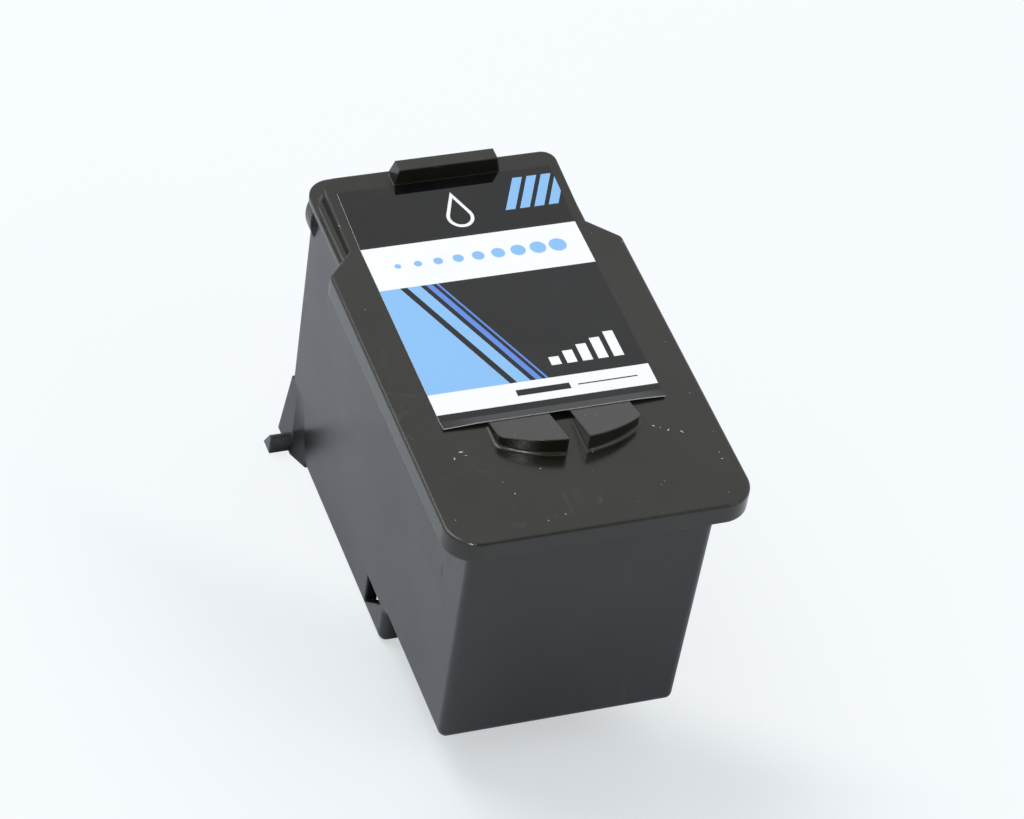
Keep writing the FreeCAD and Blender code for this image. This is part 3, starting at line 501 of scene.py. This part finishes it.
def both(*masks):
    """1 where every mask is 1."""
    result = masks[0]
    for mask in masks[1:]:
        result = sums(tree, "MULTIPLY", result, mask)
    return result


def either(*masks):
    """1 where any mask is 1."""
    result = masks[0]
    for mask in masks[1:]:
        result = sums(tree, "MAXIMUM", result, mask)
    return result


def block(left, right, front, back):
    """A plain rectangle of print."""
    return both(within(along_label, front, back), within(across_label, left, right))


def slanted(slope):
    """Distance across the label, measured from a line that leans by slope."""
    return sums(tree, "MULTIPLY_ADD", along_label, slope, across_label)


def distance(across, along):
    """The straight way to a point that lies so far across and so far along."""
    squares = [sums(tree, "POWER", side, 2.0) for side in (across, along)]
    return sums(tree, "SQRT", sums(tree, "ADD", *squares))


# Two white bands, with a blue panel between them that leans and ends in narrow stripes
panel_front, panel_back = -8.6, 10.0
white_bands = either(within(along_label, -12.1, panel_front), within(along_label, panel_back, 17.6))
panel_rows = within(along_label, panel_front, panel_back)
lean = slanted(0.42)
blue_panel = both(panel_rows, either(within(lean, -30.0, -7.2), within(lean, -6.3, -4.6)))
deep_panel = both(panel_rows, either(within(lean, -3.9, -3.1), within(lean, -2.6, -2.3)))

# Slanted blue bars in the rear corner
slant_start, slant_end, slant_pitch, slant_share = -4.5, 3.0, 1.9, 0.68
slant = slanted(-0.5)
bar_share = sums(tree, "DIVIDE", sums(tree, "SUBTRACT", slant, slant_start), slant_pitch)
bar_share = sums(tree, "FRACT", bar_share)
blue_bars = both(
    within(along_label, 21.0, 26.2),
    within(slant, slant_start, slant_end),
    sums(tree, "LESS_THAN", bar_share, slant_share),
)

# A row of dots that grow across the upper band, as on a test sheet
dot_pitch, dot_start, dot_row = 2.6, -11.7, 13.9
first_radius, radius_growth = 0.42, 0.09
cell = sums(tree, "FLOOR", sums(tree, "DIVIDE", sums(tree, "SUBTRACT", across_label, dot_start), dot_pitch))
cell_middle = sums(tree, "MULTIPLY_ADD", cell, dot_pitch, dot_start + dot_pitch / 2)
from_dot = distance(
    sums(tree, "SUBTRACT", across_label, cell_middle), sums(tree, "SUBTRACT", along_label, dot_row)
)
dot_radius = sums(tree, "MULTIPLY_ADD", cell, radius_growth, first_radius)
dots = both(sums(tree, "LESS_THAN", from_dot, dot_radius), within(across_label, dot_start, -dot_start))


def drop(radius, height):
    """A ball drawn up into a point, as high as height over the ball's middle."""
    rise = sums(tree, "SUBTRACT", along_label, 20.9)
    ball = sums(tree, "LESS_THAN", distance(across_label, rise), radius)
    slope = radius / math.sqrt(height * height - radius * radius)
    flank = sums(tree, "MULTIPLY", sums(tree, "SUBTRACT", height, rise), slope)
    cone = sums(tree, "LESS_THAN", sums(tree, "ABSOLUTE", across_label), flank)
    cone = both(cone, within(rise, radius * radius / height, height))
    return either(ball, cone)


# A drop in outline, five rising bars, a black bar and a fine line
outlined_drop = both(drop(1.75, 4.3), sums(tree, "SUBTRACT", 1.0, drop(1.3, 3.3)))
bar_count, bar_start, bar_pitch, bar_width = 5, 2.4, 2.0, 1.3
bar_foot, first_bar_top, bar_rise = -6.6, -5.2, 0.75
bars = []
for step in range(bar_count):
    bar_left = bar_start + bar_pitch * step
    bars.append(block(bar_left, bar_left + bar_width, bar_foot, first_bar_top + bar_rise * step))
white_marks = either(outlined_drop, *bars)
black_marks = either(block(-3.4, 3.4, -10.85, -9.85), block(4.4, 12.0, -10.45, -10.25))

print_colour = film_black
for mask, ink in (
    (white_bands, film_white),
    (either(blue_panel, blue_bars, dots), film_blue),
    (deep_panel, film_deep_blue),
    (white_marks, film_white),
    (black_marks, film_black),
):
    print_colour = blend_colours(tree, mask, print_colour, ink)
press_grain = mottle(tree, place(tree), 3800, 2.0, 0.3, 0.7)
dirt = mottle(tree, place(tree), 120, 5.0, 0.5, 0.85)
soiled = blend_colours(tree, sums(tree, "MULTIPLY", dirt, 0.05), print_colour, shade(120, 120, 118))
colour_piece(tree, shader, sums(tree, "MULTIPLY", press_grain, 0.006), soiled, shade(200, 200, 200))
rubs = mottle(tree, place(tree, (1, 0.05, 1), (0, 0, 0.5)), 1500, 3.0, 0.6, 0.75)
dull_piece(tree, shader, rubs, 0.06, sums(tree, "MULTIPLY_ADD", dirt, 0.05, 0.05))
peel = mottle(tree, place(tree), 420, 2.0)
emboss_piece(tree, shader, peel, 0.004 * mm, 0.3)

paper_core, tree, shader = blank_finish("paper_core", Roughness=0.85)
pulp = mottle(tree, place(tree, (1, 1, 6)), 4000, 3.0, 0.3, 0.7)
colour_piece(tree, shader, pulp, shade(214, 216, 218), shade(246, 247, 248))
emboss_piece(tree, shader, pulp, 0.01 * mm, 0.5)

printed_label = label_sheet("printed_label")
printed_label.data.materials.append(label_film)
printed_label.data.materials.append(paper_core)
belongs(printed_label, "label_film", "top_label")


# The print head. A silicon die with heaters and an ink slot, bonded under the nose. A thin photo-cured
# layer on it holds the two rows of nozzles, and beads of dark resin cover its leads.

silicon, tree, shader = blank_finish("silicon", Metallic=0.55, IOR=3.4)
zones = mottle(tree, place(tree, (1, 0.2, 1)), 1400, 3.0, 0.35, 0.65)
colour_piece(tree, shader, zones, shade(62, 66, 78), shade(98, 96, 104))
dull_piece(tree, shader, zones, 0.12, 0.16)
sawn = mottle(tree, place(tree, (1, 1, 0.1)), 9000, 2.0, 0.4, 0.6)
emboss_piece(tree, shader, sawn, 0.003 * mm, 0.5)
dress("print_chip", silicon)

nozzle_layer, tree, shader = blank_finish("nozzle_layer", Coat_Weight=0.5, Coat_Roughness=0.1, IOR=1.6)
haze = mottle(tree, place(tree), 900, 4.0, 0.3, 0.7)
colour_piece(tree, shader, haze, shade(86, 64, 44), shade(112, 88, 62))
dull_piece(tree, shader, haze, 0.1, 0.2)
wiped = mottle(tree, place(tree, (0.05, 1, 1)), 2600, 2.0, 0.55, 0.8)
emboss_piece(tree, shader, wiped, 0.002 * mm, 0.6)
dress("nozzle_plate", nozzle_layer)

nozzle_hole, tree, shader = blank_finish("nozzle_hole", Roughness=0.5)
wet = mottle(tree, place(tree), 30000, 1.0)
colour_piece(tree, shader, wet, shade(4, 4, 6), shade(14, 14, 18))
dull_piece(tree, shader, wet, 0.3, 0.25)
emboss_piece(tree, shader, wet, 0.002 * mm, 0.3)

plate_low, plate_high = (Vector(corner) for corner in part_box("nozzle_plate"))
nozzle_sizes = {
    "Row gap": 1.3 * mm,
    "Pitch": 0.085 * mm,
    "Nozzles": 144,
    "Radius": 0.022 * mm,
    "Depth": 0.012 * mm,
}
tree, sockets, outlet = new_tree("nozzle_rows", nozzle_sizes)
hole = add_node(
    tree, "GeometryNodeMeshCylinder", {"Vertices": 8, "Radius": sockets["Radius"], "Depth": sockets["Depth"]}
)
rows_of_nozzles = add_node(tree, "GeometryNodeJoinGeometry")
for side in (-0.5, 0.5):
    half_span = sums(tree, "MULTIPLY", sums(tree, "MULTIPLY", sockets["Nozzles"], sockets["Pitch"]), -0.5)
    start = add_node(
        tree,
        "ShaderNodeCombineXYZ",
        {
            "X": sums(tree, "MULTIPLY", sockets["Row gap"], side),
            "Y": sums(tree, "MULTIPLY_ADD", sockets["Pitch"], side, half_span),
        },
    )
    step = add_node(tree, "ShaderNodeCombineXYZ", {"Y": sockets["Pitch"]})
    line = add_node(
        tree,
        "GeometryNodeMeshLine",
        {"Count": sockets["Nozzles"], "Start Location": start.outputs[0], "Offset": step.outputs[0]},
        mode="OFFSET",
    )
    drilled = add_node(
        tree, "GeometryNodeInstanceOnPoints", {"Points": line.outputs[0], "Instance": hole.outputs["Mesh"]}
    )
    tree.links.new(drilled.outputs[0], rows_of_nozzles.inputs[0])
face_of_plate = Vector(((plate_low.x + plate_high.x) / 2, (plate_low.y + plate_high.y) / 2, plate_low.z))
on_plate = add_node(
    tree, "GeometryNodeTransform", {"Geometry": rows_of_nozzles.outputs[0], "Translation": face_of_plate}
)
nozzle_rows = grow("nozzle_rows", tree, outlet, on_plate.outputs[0], nozzle_hole, nozzle_sizes, no_guide)
belongs(nozzle_rows, "nozzle_layer")

resin, tree, shader = blank_finish("resin", Coat_Weight=0.6, Coat_Roughness=0.08, IOR=1.55)
flow = mottle(tree, place(tree), 700, 3.0)
colour_piece(tree, shader, flow, shade(16, 16, 19), shade(34, 33, 36))
dull_piece(tree, shader, flow, 0.15, 0.2)
emboss_piece(tree, shader, flow, 0.03 * mm, 0.7)
dress("edge_sealant", resin)


def blunt(value):
    """A sine or cosine pushed outwards, so that a circle turns into an oblong with round corners."""
    return math.copysign(abs(value) ** 0.5, value)


def resin_bead(middle, half, depth, shape, points=72, rings_down=6):
    """A low bead of poured resin: an oblong dome whose rim wanders a little."""
    wander = random.Random(7)
    rim = [1 + wander.uniform(-0.03, 0.03) for _ in range(points)]
    inside_box = 0.97
    rings = []
    for ring in range(rings_down):
        share = ring / rings_down
        z = middle.z - depth * math.sqrt(1 - share ** 2.6)
        rings.append([])
        for turn in range(points if ring else 1):
            angle = 2 * math.pi * turn / points
            oblong = share * rim[turn] * inside_box
            x = middle.x + half.x * oblong * blunt(math.cos(angle))
            y = middle.y + half.y * oblong * blunt(math.sin(angle))
            rings[-1].append(shape.verts.new((x, y, z)))
    rings.append([shape.verts.new((point.co.x, point.co.y, middle.z)) for point in rings[-1]])
    for turn in range(points):
        following = (turn + 1) % points
        shape.faces.new((rings[0][0], rings[1][turn], rings[1][following]))
        for inner, outer in zip(rings[1:], rings[2:]):
            shape.faces.new((inner[turn], outer[turn], outer[following], inner[following]))
    shape.faces.new(rings[-1])


bead_low, bead_high = (Vector(corner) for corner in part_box("lead_sealant"))
bead_half = Vector(((bead_high.x - bead_low.x) / 2, 1.0 * mm, 0))
shape = bmesh.new()
for bead_y in (bead_low.y + bead_half.y, bead_high.y - bead_half.y):
    resin_bead(Vector((0, bead_y, bead_high.z)), bead_half, bead_high.z - bead_low.z, shape)
bmesh.ops.recalc_face_normals(shape, faces=shape.faces)
bead_mesh = bpy.data.meshes.new("resin_beads")
shape.to_mesh(bead_mesh)
shape.free()
bead_mesh.materials.append(resin)
for face in bead_mesh.polygons:
    face.use_smooth = len(face.vertices) < 5
resin_beads = set_out("resin_beads", bead_mesh)
belongs(resin_beads, "resin", "lead_sealant")


# The wiring tape. A polyimide strip with copper tracks under its cover film. It is bonded round the die,
# folded up the rear wall and heat-staked there, and its gilded pads meet the springs of the carriage.

tape_film, tree, shader = blank_finish("tape_film", Coat_Weight=0.4, Coat_Roughness=0.12, IOR=1.65)
resin_tone = mottle(tree, place(tree), 260, 4.0, 0.3, 0.75)
colour_piece(tree, shader, resin_tone, shade(150, 84, 22), shade(176, 106, 34))
dull_piece(tree, shader, resin_tone, 0.12, 0.26)
calender = mottle(tree, place(tree, (0.15, 1, 1)), 1500, 2.0)
emboss_piece(tree, shader, calender, 0.01 * mm, 0.4)
dress("wiring_tape", tape_film)

gilding, tree, shader = blank_finish("gilding", Metallic=1.0, IOR=1.5)
plated = mottle(tree, place(tree), 2600, 3.0, 0.3, 0.7)
wiped = mottle(tree, place(tree, (1, 1, 0.08)), 4200, 2.0, 0.62, 0.72)
colour_piece(tree, shader, plated, shade(222, 178, 98), shade(240, 204, 128))
dull_piece(tree, shader, wiped, 0.2, sums(tree, "MULTIPLY_ADD", plated, 0.1, 0.2))
emboss_piece(tree, shader, wiped, 0.006 * mm, 0.6)
dress("contact_pads", gilding)

copper, tree, shader = blank_finish("copper_under_film", Metallic=0.7, Coat_Weight=0.4, Coat_Roughness=0.15)
etched = mottle(tree, place(tree), 1800, 2.0, 0.3, 0.7)
colour_piece(tree, shader, etched, shade(168, 92, 34), shade(198, 122, 58))
dull_piece(tree, shader, etched, 0.12, 0.3)
emboss_piece(tree, shader, etched, 0.004 * mm, 0.4)

# Each pad's track runs down between the pads. The inner ones narrow to the bead at the die's rear end,
# and the outer ones pass beside the die and turn in to the bead at its front end.
tape_low, tape_high = (Vector(corner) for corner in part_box("wiring_tape"))
pad_low = Vector(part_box("contact_pads")[0])
pad_side, pad_pitch, pad_columns, pad_rows = 1.5 * mm, 2.4 * mm, 7, 5
pad_margin, track_gap = 0.15 * mm, 0.2 * mm
bead_side = bead_half.x - 0.1 * mm
rear_of_chip = bead_high.y - 0.2 * mm
routes = []
for column in range(pad_columns):
    pad_x = pad_low.x + pad_side / 2 + column * pad_pitch
    pad_edge = pad_x + pad_side / 2
    for row in range(pad_rows):
        pad_z = pad_low.z + pad_side / 2 + row * pad_pitch
        if row == 0:
            down_x = pad_x
            route = [(pad_x, pad_z - pad_side / 2)]
        else:
            down_x = pad_edge + pad_margin + track_gap * (pad_rows - row - 0.5)
            route = [(pad_edge, pad_z), (down_x, pad_z - (down_x - pad_edge))]
        routes.append((down_x, route))
routes.sort(key=lambda item: item[0])

inner_limit = 4.4 * mm
narrowing_start, narrowing_end = 28.6 * mm, 25.2 * mm
first_turn, turn_gap = 0.18 * mm, 0.17 * mm
guide = bmesh.new()
for number, (down_x, route) in enumerate(routes):
    points = [(x, tape_high.y, z) for x, z in route] + [(down_x, tape_high.y, tape_low.z)]
    if abs(down_x) <= inner_limit:
        narrow_x = down_x / inner_limit * bead_side
        way_in = [(down_x, narrowing_start), (narrow_x, narrowing_end), (narrow_x, rear_of_chip)]
    else:
        from_outside = number if down_x < 0 else len(routes) - 1 - number
        turn_y = bead_low.y + first_turn + from_outside * turn_gap
        way_in = [(down_x, turn_y), (math.copysign(bead_side, down_x), turn_y)]
    points += [(x, y, tape_low.z) for x, y in way_in]
    spots = [guide.verts.new(point) for point in points]
    for start, stop in zip(spots, spots[1:]):
        guide.edges.new((start, stop))
guide_mesh = bpy.data.meshes.new("track_routes")
guide.to_mesh(guide_mesh)
guide.free()

track_sizes = {"Half width": 0.05 * mm, "Fold radius": 0.95 * mm, "Steps": 5}
tree, sockets, outlet = new_tree("copper_tracks", track_sizes)
lines = add_node(tree, "GeometryNodeMeshToCurve", {"Mesh": sockets["Geometry"]})
rounded = add_node(
    tree,
    "GeometryNodeFilletCurve",
    {
        "Curve": lines.outputs[0],
        "Count": sockets["Steps"],
        "Radius": sockets["Fold radius"],
        "Limit Radius": True,
    },
    mode="POLY",
)
track_section = add_node(
    tree, "GeometryNodeCurvePrimitiveCircle", {"Resolution": 4, "Radius": sockets["Half width"]}
)
drawn_tracks = add_node(
    tree, "GeometryNodeCurveToMesh", {"Curve": rounded.outputs[0], "Profile Curve": track_section.outputs[0]}
)
copper_tracks = grow("copper_tracks", tree, outlet, drawn_tracks.outputs[0], copper, track_sizes, guide_mesh)
belongs(copper_tracks, "tape_film")


# Dust. Pale flecks of lint that have settled on the lid since it left its bag: fine ones all over, and
# larger ones in front of the finger rest.

lint, tree, shader = blank_finish("lint", Roughness=0.9, Sheen_Weight=0.3)
tuft = mottle(tree, place(tree), 5000, 2.0)
colour_piece(tree, shader, tuft, shade(176, 176, 170), shade(226, 226, 222))
emboss_piece(tree, shader, tuft, 0.02 * mm, 0.8)

dust_sizes = {"Flecks per square metre": 26000.0, "Size": 0.055 * mm, "Seed": 11}
label_half_width = 14.2 * mm
lowest_dust = 42.5 * mm
tree, sockets, outlet = new_tree("dust", dust_sizes)
normal = add_node(tree, "GeometryNodeInputNormal").outputs[0]
upward = add_node(
    tree,
    "FunctionNodeCompare",
    {0: add_node(tree, "ShaderNodeSeparateXYZ", {0: normal}).outputs["Z"], 1: 0.9},
    data_type="FLOAT",
    operation="GREATER_THAN",
)
settled = add_node(
    tree,
    "GeometryNodeDistributePointsOnFaces",
    {
        "Mesh": sockets["Geometry"],
        "Selection": upward.outputs[0],
        "Density": sockets["Flecks per square metre"],
        "Seed": sockets["Seed"],
    },
)
position = add_node(tree, "GeometryNodeInputPosition").outputs[0]
spot = add_node(tree, "ShaderNodeSeparateXYZ", {0: position})
under_label = both(
    sums(tree, "LESS_THAN", sums(tree, "ABSOLUTE", spot.outputs["X"]), label_half_width),
    sums(tree, "GREATER_THAN", spot.outputs["Y"], label_low.y),
    sums(tree, "LESS_THAN", spot.outputs["Y"], label_high.y),
)
hidden = either(under_label, sums(tree, "LESS_THAN", spot.outputs["Z"], lowest_dust))
clear = add_node(
    tree, "GeometryNodeDeleteGeometry", {"Geometry": settled.outputs["Points"], "Selection": hidden}
)
fleck = add_node(tree, "GeometryNodeMeshIcoSphere", {"Radius": sockets["Size"], "Subdivisions": 1})
fleck_size = random_vector(tree, (0.3, 0.3, 0.2), (1.6, 1.0, 0.5), 3)
fleck_turn = random_vector(tree, (0, 0, 0), (0.3, 0.3, full_turn), 5)
flecks = add_node(
    tree,
    "GeometryNodeInstanceOnPoints",
    {
        "Points": clear.outputs[0],
        "Instance": fleck.outputs["Mesh"],
        "Scale": fleck_size,
        "Rotation": add_node(tree, "FunctionNodeEulerToRotation", {0: fleck_turn}).outputs[0],
    },
)
lid_mesh = nodes_of_frame["lid"].data
fine_dust = grow("fine_dust", tree, outlet, flecks.outputs[0], lint, dust_sizes, lid_mesh)
belongs(fine_dust, "lid_plastic")

# The larger flecks, where they lie on the lid, with the length of each, all in millimetres
settled_flecks = (
    (-13.1, -18.4, 0.55), (-14.2, -19.3, 0.5), (10.9, -18.9, 0.45), (12.4, -19.9, 0.4), (13.9, -20.5, 0.5),
    (17.0, -25.8, 0.3), (-9.1, -26.2, 0.3), (-4.4, -30.6, 0.3), (-6.7, -31.2, 0.25), (-4.8, -22.9, 0.25),
    (2.2, -21.5, 0.2), (-15.3, 22.2, 0.3), (-12.7, -19.0, 0.3), (11.6, -19.3, 0.25),
)
half_size_shares = (0.5, 0.2, 0.12)
height_share = 0.08
turn_between = 1.3
tufts = bmesh.new()
for number, (x, y, length) in enumerate(settled_flecks):
    ground = lid_top + max(y * mm - deck_start, 0) * deck_slope
    turn = Matrix.Rotation(number * turn_between, 4, "Z")
    flatten = Matrix.Diagonal((*(length * share * mm for share in half_size_shares), 1))
    settle = Matrix.Translation((x * mm, y * mm, ground + length * height_share * mm))
    made = bmesh.ops.create_icosphere(tufts, subdivisions=2, radius=1.0, matrix=Matrix())
    wander = random.Random(number)
    for point in made["verts"]:
        point.co *= wander.uniform(0.6, 1.15)
        point.co = (settle @ turn @ flatten) @ point.co
tuft_mesh = bpy.data.meshes.new("dust_tufts")
tufts.to_mesh(tuft_mesh)
tufts.free()
tuft_mesh.materials.append(lint)
dust_tufts = set_out("dust_tufts", tuft_mesh)
belongs(dust_tufts, "lid_plastic")


# Where it stands. A white sheet under soft studio light, and the camera. The sheet keeps the faint cool
# shade that gathers under and beside the black walls.

paper, tree, shader = blank_finish("white_sheet", Base_Color=(0.87, 0.93, 1.0, 1), Roughness=0.9)
shader.inputs["Specular IOR Level"].default_value = 0.1
seen = add_node(tree, "ShaderNodeLightPath").outputs["Is Camera Ray"]
painted_light_sheet = add_node(tree, "ShaderNodeEmission", {"Color": (0.95, 0.98, 1.0, 1), "Strength": 1.0})

# To the camera the sheet glows a little by itself. This is painted light: more of it far off evens out the
# shade there, and more towards its right rear is a painted pool of light, as if lit from there
least_painted_light, far_off_painted_light, rear_painted_light = 0.5, 0.84, 0.82
far_off = add_node(
    tree, "ShaderNodeVectorMath", {0: place(tree, (1.5, 0.9, 1))}, operation="LENGTH"
).outputs["Value"]
towards_right_rear = dot_product(tree, place(tree), (17.9, 22.0, 0))
painted_sheet_light = sums(
    tree,
    "MAXIMUM",
    ramp(tree, far_off, 45 * mm, 95 * mm, least_painted_light, far_off_painted_light),
    ramp(tree, towards_right_rear, -0.54, -0.11, least_painted_light, rear_painted_light),
)
seen_sheet = add_node(
    tree,
    "ShaderNodeMixShader",
    {0: sums(tree, "MULTIPLY", seen, painted_sheet_light), 1: shader.outputs[0], 2: painted_light_sheet.outputs[0]},
)
tree.links.new(seen_sheet.outputs[0], tree.nodes["Material Output"].inputs["Surface"])
floor_mesh = bpy.data.meshes.new("floor")
reach = 1.6
corners = [(-reach, -reach, 0), (reach, -reach, 0), (reach, reach, 0), (-reach, reach, 0)]
floor_mesh.from_pydata(corners, [], [(0, 1, 2, 3)])
floor_mesh.materials.append(paper)
floor = set_out("floor", floor_mesh)

# The surroundings are white where they are seen or mirrored, and light the cartridge at a plain level
surroundings = bpy.data.worlds.new("studio")
bpy.context.scene.world = surroundings
surroundings.use_nodes = True
tree = surroundings.node_tree
background = tree.nodes["Background"]
background.inputs["Color"].default_value = (0.97, 0.99, 1.0, 1)
lighting_level = 0.58
ray = add_node(tree, "ShaderNodeLightPath").outputs
seen = sums(tree, "MAXIMUM", ray["Is Camera Ray"], ray["Is Glossy Ray"])
level = sums(tree, "MULTIPLY_ADD", seen, 1 - lighting_level, lighting_level)

# The room in front of the sheet is dark, which shows only in gloss, on edges that face that way
direction = add_node(tree, "ShaderNodeTexCoord").outputs["Generated"]
towards_room = dot_product(tree, direction, (0.12, -0.73, 0.67))
darkness = ramp(tree, towards_room, 0.72, 0.93, 0.0, 0.8)
mirrored_room = sums(tree, "MULTIPLY", ray["Is Glossy Ray"], darkness)
level = sums(tree, "MULTIPLY", level, sums(tree, "SUBTRACT", 1.0, mirrored_room))
tree.links.new(level, background.inputs["Strength"])


def soft_box(name, spot, size, power, in_gloss_only=False):
    """A square lamp that faces the origin. One in gloss only makes glints, but no light."""
    lamp = bpy.data.lights.new(name, "AREA")
    lamp.shape = "SQUARE"
    lamp.size = size
    lamp.energy = power
    lamp.color = (1.0, 0.99, 0.97)
    stand = set_out(name, lamp)
    away_from_origin = Vector(spot).to_track_quat("Z", "Y").to_matrix().to_4x4()
    stand.matrix_world = Matrix.Translation(spot) @ away_from_origin
    stand.visible_diffuse = not in_gloss_only


soft_box("high_softbox", (-0.25, 0.35, 0.75), size=0.5, power=3.6)
soft_box("front_softbox", (0.5, -0.55, 0.6), size=0.4, power=0.9)
soft_box("edge_light", (-0.20, -0.43, 0.50), size=0.06, power=1.5, in_gloss_only=True)

camera_data = bpy.data.cameras.new("camera")
camera_data.sensor_width = 36.0
camera_data.lens = 151.2
camera = set_out("camera", camera_data)
camera_spot = (-0.16565, -0.34704, 0.38887)
right = Vector((0.93790, -0.32457, 0.12247))
down = Vector((-0.14061, -0.67841, -0.72111))
forward = Vector((0.31714, 0.65910, -0.68191))
facing = Matrix((right, -down, -forward)).transposed().to_4x4()
camera.matrix_world = Matrix.Translation(camera_spot) @ facing
bpy.context.scene.camera = camera
bpy.context.scene.view_settings.view_transform = "Standard"
